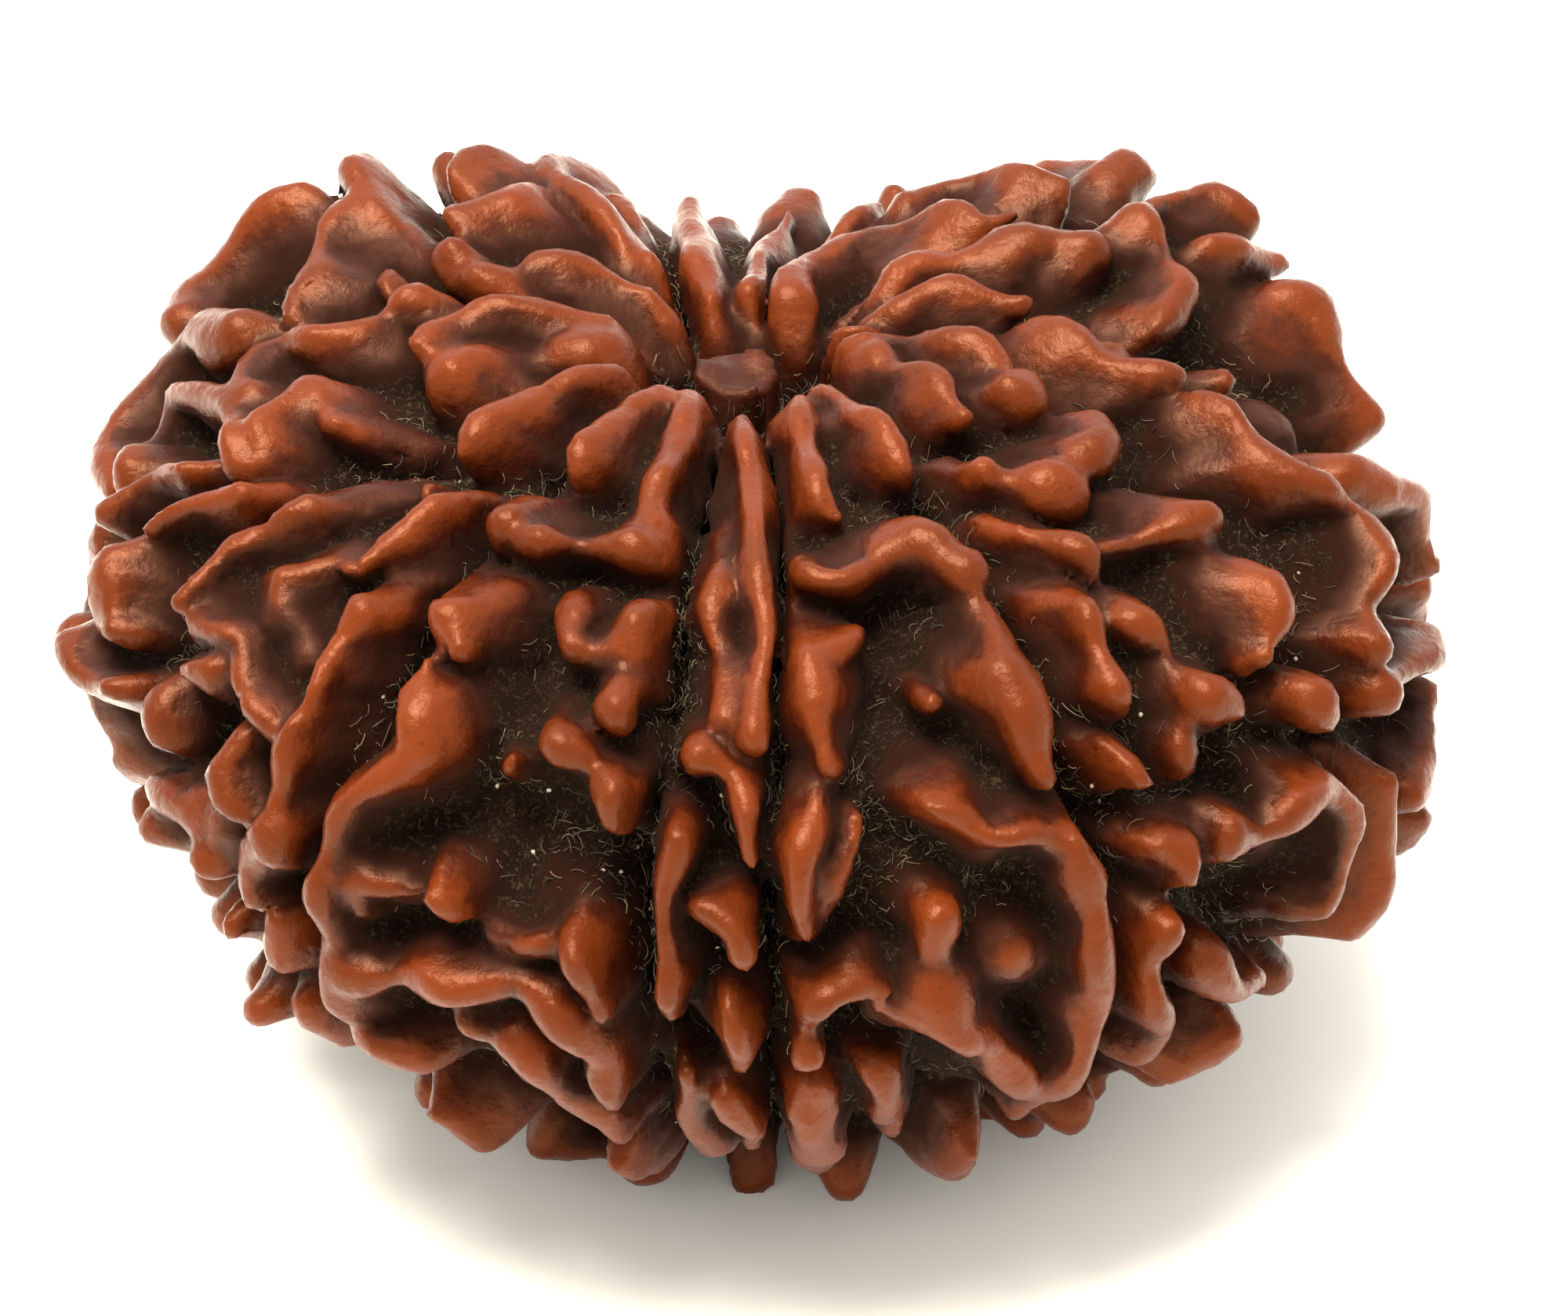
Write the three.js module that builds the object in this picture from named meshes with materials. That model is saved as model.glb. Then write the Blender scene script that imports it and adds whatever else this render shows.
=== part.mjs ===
// Ten mukhi rudraksha bead: the dried stone of an Elaeocarpus fruit, in millimetres.
// +Z runs up the bead's own axis, -Y is its front, and the origin is under its middle on the surface
// that it rests on. Places on the bead are a longitude, 0 at the front and growing to the right (+X),
// and a latitude, 0 at the equator and 90 at the upper pole, both in degrees.
import * as THREE from "three";

// Driving dimensions
const HALF_WIDTH = 14.1;
const HALF_DEPTH = 13.4;
const UPPER_HALF_HEIGHT = 7.5;
const LOWER_HALF_HEIGHT = 9.5;
const UPPER_SQUARENESS = 3.0;
const LOWER_SQUARENESS = 1.9;
const LEAN = -2;
const REST_HEIGHT = 8.6;

// The relief, measured inwards from the mean surface over the ridge tops
const VALLEY_DEPTH = 1.75;
const FURROW_DEPTH = 0.8;
const FURROW_HALF_WIDTH = 0.55;
const RIDGE_BLEND = 0.35;
const VALLEY_BLEND = 0.6;

// The hollow at each pole, and the rest of the fruit stalk that stands in the upper one
const UPPER_HOLLOW = { depth: 1.4, spread: 16 };
const LOWER_HOLLOW = { depth: 0.6, spread: 14 };
const PIT = { radius: 1.75, depth: 1.7, x: -0.1, y: 0, rim: 0.7 };
const STALK = { radius: 0.85, x: -0.25, y: 0.1, top: 6.35, blend: 0.2, nearPole: 0.9 };

// Broad swells and flats of the bead: longitude, latitude, height and spread
const SWELLS = [
  { lon: -137, lat: 30, height: 1.5, spread: 20 },
  { lon: 132, lat: 28, height: 1.4, spread: 20 },
  { lon: -98, lat: 22, height: -0.8, spread: 16 },
  { lon: 100, lat: 24, height: -0.6, spread: 16 },
  { lon: 180, lat: 38, height: -2.0, spread: 30 },
  { lon: -75, lat: -25, height: -0.8, spread: 22 },
  { lon: 82, lat: -28, height: -0.2, spread: 18 },
  { lon: -25, lat: -58, height: 0.9, spread: 20 },
  { lon: 16, lat: -58, height: 0.7, spread: 20 },
  { lon: 0, lat: -30, height: -0.3, spread: 25 },
];

// The ten furrows from pole to pole, as [longitude, latitude], in order to the right from the front
const FURROWS = [
  [[14, 76], [9, 60], [7.5, 50], [5.8, 40], [3.8, 30], [2.8, 20], [1.6, 10], [1.3, 0], [1, -10],
    [1.5, -22], [2, -55], [3, -82]],
  [[50, 76], [44, 62], [40, 52], [36.5, 43], [34, 35], [32.8, 27], [31.6, 20], [31.2, 12], [31.8, 4],
    [31.2, -4], [30, -12], [31, -25], [31, -55], [34, -82]],
  [[108, 76], [101, 66], [93, 58], [82, 50.5], [75, 43], [71, 36], [67, 27], [63, 20], [61, 12],
    [60, 3], [59.5, -5], [57, -15], [57, -50], [60, -82]],
  [[138, 76], [138, 62], [135, 51], [129, 44], [128.5, 37], [131, 27], [132, 10], [130, -12],
    [128, -50], [126, -82]],
  [[168, 76], [172, 62], [172, 50], [169, 40], [167, 30], [158, 10], [152, -10], [150, -50],
    [150, -82]],
  [[204, 76], [202, 62], [199, 50], [195, 40], [192, 30], [188, 0], [190, -50], [190, -82]],
  [[240, 78], [244, 70], [249, 61], [252.5, 53], [250, 47], [241, 42.5], [231, 39], [222, 34],
    [220, 22], [224, 5], [230, -12], [234, -50], [236, -82]],
  [[280, 76], [287, 66], [290, 55], [291.5, 45], [293.5, 36], [295, 30], [294.2, 25], [294.5, 21],
    [297.5, 18], [298, 12], [297.5, 4], [297, -5], [298, -20], [300, -50], [300, -82]],
  [[310, 76], [314, 66], [316, 58], [316.5, 50], [319, 42], [321, 34], [321.5, 28], [323, 20],
    [321.5, 13], [320.5, 6], [320.5, 0], [320.5, -6], [321.5, -14], [322, -50], [322, -82]],
  [[350, 76], [351, 60], [350.5, 50], [351.6, 40], [352.2, 30], [351.2, 18], [350.5, 8], [350, 0],
    [350, -10], [351, -20], [351, -55], [348, -82]],
];

// A ridge or knob: half its thickness, how far its top stands over the mean surface, and its run
const ridge = (half, rise, ...run) => ({ half, rise, run });

// The worn knob at the lower pole that the bead rests on, and how near to that level a point is worn flat
const FOOT = ridge(1.6, -0.1, [0, -90]);
const FLAT_WITHIN = 0.07;

// The ridges that the bead shows, lobe by lobe to the right from the narrow front one
const FRONT_LOBE = [
  ridge(0.42, 0.05, [0, 67], [1, 58], [2, 50], [2.5, 42], [2.2, 35], [1.5, 30], [0.5, 26]),
  ridge(0.5, -0.35, [-3.5, 46], [-3.2, 40], [-3.5, 36], [-2, 31], [-2, 27]),
  ridge(0.42, 0, [-4, 24], [-1.5, 23], [0.2, 20], [0.5, 16]),
  ridge(0.4, -0.1, [-6.5, 17], [-6.8, 10], [-7, 4], [-6.8, 1]),
  ridge(0.42, 0, [-3.5, 11.5], [-1.5, 10.5], [-0.8, 8], [-0.4, 6.6]),
  ridge(0.42, 0.05, [-2, 3], [-1.3, 0], [-1.2, -4]),
  ridge(0.6, -0.2, [-6.5, -6], [-5.5, -14], [-5, -22]),
  ridge(0.45, 0, [-3, -8], [-1, -13], [-1, -20]),
];
const FIRST_RIGHT_LOBE = [
  ridge(0.55, 0.1, [55, 78], [42, 70], [37, 62], [35, 57], [33, 52]),
  ridge(0.45, 0.05, [30, 73], [20, 66], [17, 60], [14.5, 54], [14, 50], [16, 47.5]),
  ridge(0.9, -0.5, [30, 69], [25, 63]),
  ridge(0.42, 0, [8, 40.5], [12, 39.5], [16, 40.5], [20, 41.5], [25, 42]),
  ridge(0.7, 0.15, [26, 41.5], [29, 40]),
  ridge(0.52, 0.05, [28.7, 38], [28.2, 35], [27.5, 31], [27, 28]),
  ridge(0.85, 0.15, [26, 27], [26.5, 23], [26.5, 19.5]),
  ridge(0.5, 0, [7, 31.5], [9, 32.5], [13, 33.5]),
  ridge(0.58, 0.1, [7, 31], [6.8, 27], [7.5, 23]),
  ridge(0.45, 0.05, [6, 20.5], [4.5, 17], [4, 13], [4.5, 9.5]),
  ridge(0.5, -0.4, [9, 18.5], [7.5, 14.5], [5.8, 11.5]),
  ridge(0.42, -0.4, [19, 27]),
  ridge(0.4, -0.05, [16, 19.3], [18.5, 18.3], [20.5, 16], [23.5, 15.7], [26, 14.5]),
  ridge(0.6, 0.05, [27.5, 14.5], [28, 11], [28.5, 7], [28.5, 3], [28.3, -1], [27.5, -6], [26, -11],
    [24, -16]),
  ridge(0.95, 0, [15.2, 10], [15.5, 5.5], [15, 2]),
  ridge(0.42, 0, [4, -1.5], [4, 1], [5, 3.5], [7.5, 4.8], [10.5, 4]),
  ridge(0.5, -0.05, [10, 2.5], [13, 0.5], [16, -0.5], [19, -3], [22, -8], [24.5, -12]),
  ridge(0.85, 0, [4.8, -7], [4.5, -13], [5.5, -22], [6, -34]),
  ridge(0.6, -0.3, [10, -6], [12, -14], [14, -24]),
  ridge(0.8, 0.3, [21, -24], [22, -34]),
];
const SECOND_RIGHT_LOBE = [
  ridge(0.7, 0, [104, 72], [96, 65], [87, 59.5], [81, 55], [75, 52], [70, 51]),
  ridge(0.5, 0, [84, 69], [73, 66], [66, 61], [60, 57], [56, 54]),
  ridge(0.5, 0, [44, 47], [47, 44.5], [48.5, 43]),
  ridge(0.75, 0.1, [51, 41.5], [55, 42], [60, 42], [66, 42], [69, 43]),
  ridge(0.5, -0.15, [48, 34], [53, 33], [58, 32]),
  ridge(0.68, 0.1, [60, 31.5], [61.5, 31.5]),
  ridge(0.5, 0, [39.5, 39.5], [41.5, 37], [43.5, 34.5], [43, 32.8]),
  ridge(0.45, 0, [38.3, 31], [37.5, 28], [36.8, 25], [36.7, 22.8]),
  ridge(0.68, 0.05, [57.5, 24.5], [55.5, 22.3], [52.5, 21]),
  ridge(0.58, -0.35, [43, 28.5], [45, 26], [44, 23]),
  ridge(0.72, 0, [44.5, 20.5], [47, 18.5]),
  ridge(0.5, -0.5, [42, 18], [41, 15]),
  ridge(0.4, 0, [33.8, 19], [34.8, 17]),
  ridge(0.55, 0.05, [55.5, 15.5], [57, 13]),
  ridge(0.62, 0.05, [35, 11], [37, 10], [37, 7.8]),
  ridge(0.5, 0, [42, 9.5], [46, 8.2], [50, 9], [53.5, 8.5], [56, 5], [56, 0], [54.5, -4]),
  ridge(0.5, 0, [35, 4], [34, 1], [34, -3], [36, -7.5], [35.5, -11]),
  ridge(0.5, 0, [39.5, -2], [43, -6], [48, -9]),
  ridge(0.6, 0.2, [45, -14], [41, -18]),
];
const THIRD_RIGHT_LOBE = [
  ridge(0.75, 0.1, [97, 50], [93, 48.3]),
  ridge(0.5, 0, [93, 48], [88, 46], [85.5, 43], [85, 39], [86.5, 36.5]),
  ridge(0.35, -0.2, [92, 45], [89.5, 42.5]),
  ridge(0.5, 0, [91, 33]),
  ridge(0.55, 0.05, [82, 35.5], [79, 33], [75.5, 29.5], [75, 26.5], [76.5, 23.5], [76, 20.5],
    [72, 18.5], [68.5, 16.8], [65.5, 15.3]),
  ridge(0.55, 0, [118, 68], [115, 63], [113, 58], [109, 54], [105, 51]),
  ridge(0.8, 0.05, [131, 58], [128, 54], [124, 50.5], [122, 46.5], [121, 43], [117, 42]),
  ridge(0.6, 0, [121, 36.5], [115, 35.5], [109, 35.5], [105, 37], [100, 38]),
  ridge(0.75, 0.1, [116, 32], [117, 28], [118, 24]),
  ridge(0.6, 0.3, [123, 35], [125, 30], [122, 27]),
  ridge(1.0, 0.1, [112, 22], [107, 18], [103, 15]),
  ridge(0.75, 0.2, [83, 22], [86, 18], [89, 14], [88, 9]),
  ridge(0.5, 0, [64.5, 11.5], [67.5, 11], [72, 9.5], [78, 7.5]),
  ridge(0.55, 0, [80, 2], [75, 0], [69, -1.5]),
  ridge(0.65, 0.15, [64.5, 3], [63.5, -4], [62, -10]),
];
const FOURTH_RIGHT_LOBE = [
  ridge(0.52, 0, [160, 66], [161, 58], [158, 50], [154, 46], [147, 45.5], [140, 45.5], [134, 46],
    [131.5, 44]),
  ridge(0.6, 0.1, [165, 62], [163.5, 50], [161.5, 43], [160, 37]),
  ridge(0.6, 0.1, [152, 39], [146, 37], [139, 38], [134, 37]),
];
const BACK_LOBE = [
  ridge(0.5, 0, [176, 62], [176.5, 50], [176.5, 40], [174, 33]),
  ridge(0.6, 0.2, [-165, 66], [-168, 56], [-170, 48], [-170.5, 40], [-172, 33]),
];
const FOURTH_LEFT_LOBE = [
  ridge(0.6, 0.35, [-160, 34], [-154, 35], [-150, 39.5], [-151, 46], [-150, 53]),
  ridge(0.6, -0.1, [-157, 54], [-158, 46], [-159, 39]),
  ridge(0.7, 0.15, [-128, 44.5], [-133, 45], [-140, 45], [-146, 43]),
  ridge(0.6, 0.1, [-124, 46], [-118, 47.5]),
  ridge(0.55, 0.2, [-138, 39], [-144, 37], [-149, 36]),
  ridge(0.6, 0, [-113.5, 51], [-119, 53], [-126, 55], [-134, 58], [-141, 64]),
];
const THIRD_LEFT_LOBE = [
  ridge(0.6, 0.1, [-88, 48], [-94, 50], [-98, 53], [-101, 57], [-105, 62], [-108, 68]),
  ridge(0.95, -0.3, [-82, 49.5], [-87, 54], [-90, 60], [-94, 66]),
  ridge(0.5, 0.05, [-104, 46.5], [-101, 44.5], [-96, 41], [-95, 38], [-98, 34.5], [-97, 31.5],
    [-92, 30.5], [-88, 31]),
  ridge(0.5, 0, [-85, 36.5], [-80, 35.5], [-76, 33.5], [-73, 32.5]),
  ridge(0.5, 0, [-83, 37], [-77, 38], [-73, 39]),
  ridge(0.55, 0, [-75, 30.5], [-80, 31.5], [-86, 30], [-93, 26.5], [-98, 22.5], [-94, 19.5], [-88, 19]),
  ridge(0.8, 0.2, [-103, 29], [-108, 23], [-106, 17], [-98, 14], [-92, 15]),
  ridge(0.75, 0.2, [-126, 31], [-122, 26], [-118, 21], [-113, 20]),
  ridge(0.6, 0, [-125, 36], [-118, 35], [-110, 35], [-103, 34.5]),
  ridge(0.75, 0.2, [-134, 31], [-130, 34], [-125, 37.5]),
  ridge(0.5, -0.4, [-112, 41], [-108, 42]),
  ridge(0.5, 0, [-78, 27], [-82, 23], [-83, 18]),
  ridge(0.4, 0, [-69, 30], [-71, 26], [-73.5, 22.5]),
  ridge(0.9, 0.2, [-74, 19.5], [-72, 16], [-68.5, 15]),
  ridge(0.55, 0.15, [-76, 9], [-70, 9], [-65.5, 11]),
];
const SECOND_LEFT_LOBE = [
  ridge(0.65, 0.05, [-64, 69], [-61, 61], [-58, 55], [-56, 50], [-54.5, 46.5]),
  ridge(0.5, 0.1, [-44.5, 42.5], [-45.5, 39], [-45.7, 36], [-46.5, 32.5]),
  ridge(0.3, -0.5, [-53, 40.5], [-51, 39]),
  ridge(0.5, 0, [-59.5, 33.5], [-60.5, 30], [-61.5, 27]),
  ridge(0.7, 0.1, [-61.5, 25], [-61, 22]),
  ridge(0.5, -0.1, [-58, 21.5], [-54, 22], [-51, 20.5], [-49, 19.5]),
  ridge(0.95, -0.5, [-54, 26], [-50, 24], [-47, 23]),
  ridge(0.35, -0.25, [-54, 28], [-51.5, 31], [-49, 31.5]),
  ridge(0.45, 0, [-42.5, 29], [-42.6, 26], [-42, 22]),
  ridge(0.55, 0.1, [-42, 20], [-42, 16], [-41.8, 12], [-41.5, 9]),
  ridge(0.72, 0.1, [-47.5, 19.2], [-45, 18]),
  ridge(0.62, 0, [-48, 15.5], [-48, 12], [-45, 10.5]),
  ridge(0.5, 0, [-54, 18.5], [-57, 17.5]),
  ridge(0.6, -0.15, [-59.5, 13], [-57.5, 10.5]),
  ridge(0.9, 0.05, [-58.5, 5.5], [-54, 6.5], [-50, 7]),
  ridge(0.7, 0, [-58, 2.5], [-53, 3], [-50, 4]),
  ridge(0.6, 0.1, [-44, 7.5], [-45.3, 5], [-44.5, 2.5]),
  ridge(0.35, 0, [-47.5, -2]),
  ridge(0.45, 0.05, [-42.6, 1], [-42.6, -3]),
  ridge(0.58, 0.35, [-46.5, -10]),
  ridge(0.5, 0, [-42, -8], [-41.5, -14]),
];
const FIRST_LEFT_LOBE = [
  ridge(0.6, 0.1, [-55, 77], [-43, 71], [-38.5, 65], [-36, 59.5], [-34.5, 54.5], [-33.5, 50.5]),
  ridge(0.6, 0, [-35, 75], [-22, 68], [-18, 61], [-16.5, 55], [-16.5, 50], [-15.5, 46.5]),
  ridge(0.6, 0.05, [-35, 41.5], [-31.5, 41]),
  ridge(0.42, 0, [-31, 41], [-26, 42], [-21, 42.5], [-16, 43]),
  ridge(0.6, 0.1, [-16, 43], [-12.8, 41.8]),
  ridge(0.6, 0.1, [-12, 34.5], [-12.2, 31], [-12.8, 27.5]),
  ridge(0.45, -0.1, [-14, 32], [-17, 31.5], [-19.5, 32.5], [-20.5, 34.5]),
  ridge(0.45, 0, [-17, 23.5], [-14, 22.7], [-12, 20.8], [-11.3, 18.5]),
  ridge(0.32, -0.6, [-22, 21]),
  ridge(0.85, 0.15, [-34, 32], [-32, 31], [-30, 29.5]),
  ridge(0.35, -0.1, [-33, 28], [-32, 24.5]),
  ridge(0.75, 0.1, [-31, 24], [-30, 21.5]),
  ridge(0.45, 0.05, [-31, 19.5], [-33.5, 17], [-35.5, 14], [-36.3, 10], [-36.8, 6.5], [-36, 3],
    [-36.5, 0], [-36, -4], [-35.5, -8]),
  ridge(0.6, -0.1, [-34.5, 9], [-33.5, 5.5]),
  ridge(0.74, 0.1, [-26.5, 10], [-25, 8.6]),
  ridge(0.35, -0.3, [-33, 8.5], [-29, 9]),
  ridge(0.55, 0, [-35, -0.5], [-31, 0.5], [-27, 1.5], [-23, 2], [-19, 3], [-15.8, 1], [-13.2, -2.5],
    [-12.3, -6.5], [-12.3, -9]),
  ridge(0.95, -0.3, [-22, 6], [-17, 7]),
  ridge(0.4, 0.2, [-14.8, 8.5], [-14, 6.8], [-12.8, 4], [-12.3, 2]),
  ridge(0.6, 0, [-20, -4], [-18, -7], [-16, -11], [-13, -17]),
  ridge(0.65, 0, [-35, -9], [-31, -9.5]),
  ridge(0.4, -0.3, [-25, -3], [-21, -4]),
  ridge(0.9, 0.4, [-34, -22], [-30, -26]),
  ridge(0.7, 0.3, [-14, -22], [-13, -32]),
];

// Where the bead turns out of sight the relief goes on by a rule: rows of knobs down each lobe, from and
// to a latitude in degrees and below a wavy edge, a spacing apart in mm and a gap clear of the drawn
// ridges. Knobs differ in place, size and rise, and thinner, lower ridges join a share of the neighbours.
const RULE = {
  firstRow: 38,
  lastRow: -74,
  rowStep: 11.5,
  edgeMiddle: 5,
  edgeSwing: 30,
  knobSpacing: 2.45,
  gap: 1.0,
  sideways: 0.16,
  upAndDown: 3,
  halfSize: 0.52,
  halfVariation: 0.13,
  knobExtra: 0.12,
  rise: 0,
  riseVariation: 0.2,
  downLinks: 0.62,
  sideLinks: 0.38,
  linkThickness: 0.86,
  linkDrop: 0.1,
  linkBend: 1.5,
  seed: 20117,
};

// The mesh: how finely the surface is read, how many triangles are kept, how thin one may be, the least
// cosine between its facing and the way it faced before and the way out, and what a side's length costs
const MESH = {
  division: 60,
  triangles: 11000,
  thinnest: 0.06,
  leastTurn: 0.25,
  leastOutward: 0.02,
  lengthCost: 1e-5,
};

// Directions closer together than one part in this many are one corner
const CORNER_STEPS = 1e5;
// Planes whose determinant is smaller than this don't fix a point
const LEAST_DETERMINANT = 1e-5;
// How much older a moved corner becomes: more than the moves round it can add up to
const MOVED = 1e6;

// The search for the surface along a ray, in mm: where it starts and ends, its steps and its halvings
const SEARCH = { above: 1.6, below: 0.5, step: 0.12, halvings: 12 };
// How far out from its own sides a ridge or a furrow still counts, how deep the relief goes at most, and
// a distance that is farther than all of it
const RIDGE_REACH = 1.6;
const FURROW_REACH = 1.8;
const DEEPEST = 2;
const FAR = 9;

// A repeatable row of numbers: each is the one before times this, less whole times the prime
const MULTIPLIER = 16807;
const PRIME = 2147483647;

const BEAD_COLOUR = 0x9c4a26;
const BEAD_ROUGHNESS = 0.45;

const DEGREE = Math.PI / 180;
const leanSlope = Math.tan(LEAN * DEGREE);

// The unit direction of a longitude and a latitude
function direction(lon, lat) {
  const across = Math.cos(lat * DEGREE);
  return new THREE.Vector3(
    across * Math.sin(lon * DEGREE),
    -across * Math.cos(lon * DEGREE),
    Math.sin(lat * DEGREE),
  );
}

const swells = SWELLS.map((s) => ({ ...s, towards: direction(s.lon, s.lat) }));

// Distance from the bead's centre to the mean surface over the ridge tops
function meanRadius(dir) {
  const upper = dir.z > 0;
  const power = upper ? UPPER_SQUARENESS : LOWER_SQUARENESS;
  const halfHeight = upper ? UPPER_HALF_HEIGHT : LOWER_HALF_HEIGHT;
  const across = Math.hypot(dir.x / HALF_WIDTH, dir.y / HALF_DEPTH);
  let radius = (across ** power + Math.abs(dir.z / halfHeight) ** power) ** (-1 / power);
  const lat = Math.asin(THREE.MathUtils.clamp(dir.z, -1, 1)) / DEGREE;
  radius -= UPPER_HOLLOW.depth * Math.exp(-(((90 - lat) / UPPER_HOLLOW.spread) ** 2));
  radius -= LOWER_HOLLOW.depth * Math.exp(-(((90 + lat) / LOWER_HOLLOW.spread) ** 2));
  for (const { towards, height, spread } of swells) {
    const angle = Math.acos(THREE.MathUtils.clamp(dir.dot(towards), -1, 1)) / DEGREE;
    radius += height * Math.exp(-((angle / spread) ** 2));
  }
  return radius;
}

// A point over a longitude and a latitude, so far outside the mean surface
function onBead(lon, lat, rise = 0) {
  const dir = direction(lon, lat);
  return dir.multiplyScalar(meanRadius(dir) + rise);
}

// Longitude of a furrow at a latitude
function furrowLongitude(furrow, lat) {
  for (let i = 1; i < furrow.length; i++) {
    const [lon, low] = furrow[i];
    if (lat < low && i < furrow.length - 1) continue;
    const [lonBefore, high] = furrow[i - 1];
    const share = THREE.MathUtils.clamp((lat - high) / (low - high), 0, 1);
    return THREE.MathUtils.lerp(lonBefore, lon, share);
  }
}

// The latitude over a longitude below which the rule takes over
const ruleBelow = (lon) => RULE.edgeMiddle - RULE.edgeSwing * Math.cos(lon * DEGREE);

// A repeatable row of numbers from 0 to 1
function numbers(seed) {
  let state = seed;
  return () => {
    state = (state * MULTIPLIER) % PRIME;
    return state / PRIME;
  };
}

const DRAWN_RIDGES = [
  ...FRONT_LOBE,
  ...FIRST_RIGHT_LOBE,
  ...SECOND_RIGHT_LOBE,
  ...THIRD_RIGHT_LOBE,
  ...FOURTH_RIGHT_LOBE,
  ...BACK_LOBE,
  ...FOURTH_LEFT_LOBE,
  ...THIRD_LEFT_LOBE,
  ...SECOND_LEFT_LOBE,
  ...FIRST_LEFT_LOBE,
  FOOT,
];

// Straight pieces of a run, each with its two ends and the cosine of how far off it still counts
function pieces(run, rise, reach) {
  const points = run.map(([lon, lat]) => onBead(lon, lat, rise));
  const ends = points.length > 1 ? points.slice(1).map((p, i) => [points[i], p]) : [[points[0], points[0]]];
  return ends.map(([start, end]) => {
    const middle = start.clone().add(end).multiplyScalar(0.5);
    const spread = start.distanceTo(end) / 2 + reach;
    return {
      start,
      along: end.clone().sub(start),
      towards: middle.clone().normalize(),
      nearCosine: Math.cos(Math.atan(spread / (middle.length() - DEEPEST))),
    };
  });
}

const spine = new THREE.Vector3();
const offset = new THREE.Vector3();

// The nearest point of a straight piece
function nearestOn(piece, point, target) {
  const length2 = piece.along.lengthSq();
  const share = length2 ? offset.copy(point).sub(piece.start).dot(piece.along) / length2 : 0;
  return target.copy(piece.along).multiplyScalar(THREE.MathUtils.clamp(share, 0, 1)).add(piece.start);
}

// Knobs in rows down every lobe below the hand-drawn ridges, with ridges between some of them
function ruledRidges() {
  const next = numbers(RULE.seed);
  const drawn = DRAWN_RIDGES.flatMap(({ half, run }) =>
    pieces(run, 0, 0).map((piece) => ({ ...piece, half })),
  );
  const nearest = new THREE.Vector3();
  const free = (lon, lat) => {
    const place = onBead(lon, lat);
    return drawn.every((piece) => nearestOn(piece, place, nearest).distanceTo(place) > piece.half + RULE.gap);
  };
  const vary = (middle, variation) => middle + variation * (next() - 0.5) * 2;
  const made = [];
  FURROWS.forEach((left, lobe) => {
    const right = FURROWS[(lobe + 1) % FURROWS.length];
    const turn = lobe === FURROWS.length - 1 ? 360 : 0;
    let above = [];
    for (let row = RULE.firstRow; row > RULE.lastRow; row -= RULE.rowStep) {
      const from = furrowLongitude(left, row);
      const span = furrowLongitude(right, row) + turn - from;
      const middle = direction(from + span / 2, row);
      const width = span * DEGREE * meanRadius(middle) * Math.cos(row * DEGREE);
      const count = Math.max(1, Math.round(width / RULE.knobSpacing));
      const knobs = [];
      for (let i = 0; i < count; i++) {
        const lon = from + (span * (i + vary(0.5, RULE.sideways))) / count;
        const lat = vary(row, RULE.upAndDown);
        const half = vary(RULE.halfSize, RULE.halfVariation);
        const rise = vary(RULE.rise, RULE.riseVariation);
        const shown = lat < ruleBelow(lon) && free(lon, lat);
        knobs.push({ lon, lat, shown, half, rise });
        if (shown) made.push(ridge(half + RULE.knobExtra, rise, [lon, lat]));
      }
      knobs.forEach((knob, i) => {
        const beside = next() < RULE.sideLinks ? knobs[i + 1] : undefined;
        const over = next() < RULE.downLinks ? above[Math.round((i * above.length) / count)] : undefined;
        for (const other of [beside, over]) {
          if (!other || !knob.shown || !other.shown) continue;
          const bend = [(knob.lon + other.lon) / 2, (knob.lat + other.lat) / 2].map((middle) =>
            vary(middle, RULE.linkBend),
          );
          const half = knob.half * RULE.linkThickness;
          const rise = knob.rise - RULE.linkDrop;
          made.push(ridge(half, rise, [other.lon, other.lat], bend, [knob.lon, knob.lat]));
        }
      });
      above = knobs;
    }
  });
  return made;
}

const ridgePieces = [...DRAWN_RIDGES, ...ruledRidges()].flatMap(({ half, rise, run }) =>
  pieces(run, rise - half, half + RIDGE_REACH).map((piece) => ({ ...piece, half })),
);
const furrowPieces = FURROWS.flatMap((run) => pieces(run, 0, FURROW_REACH));

// Distance to a ridge: round over its spine, and a standing wall from the spine down to the valley
function ridgeDistance(piece, point) {
  nearestOn(piece, point, spine);
  const up = spine.length();
  offset.copy(point).sub(spine);
  const height = offset.dot(spine) / up;
  if (height >= 0) return offset.length() - piece.half;
  return Math.sqrt(Math.max(0, offset.lengthSq() - height * height)) - piece.half;
}

// The smaller of two distances, with their meeting rounded
function blended(a, b, roundness) {
  const share = Math.max(roundness - Math.abs(a - b), 0) / roundness;
  return Math.min(a, b) - share * share * roundness * 0.25;
}

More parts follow.
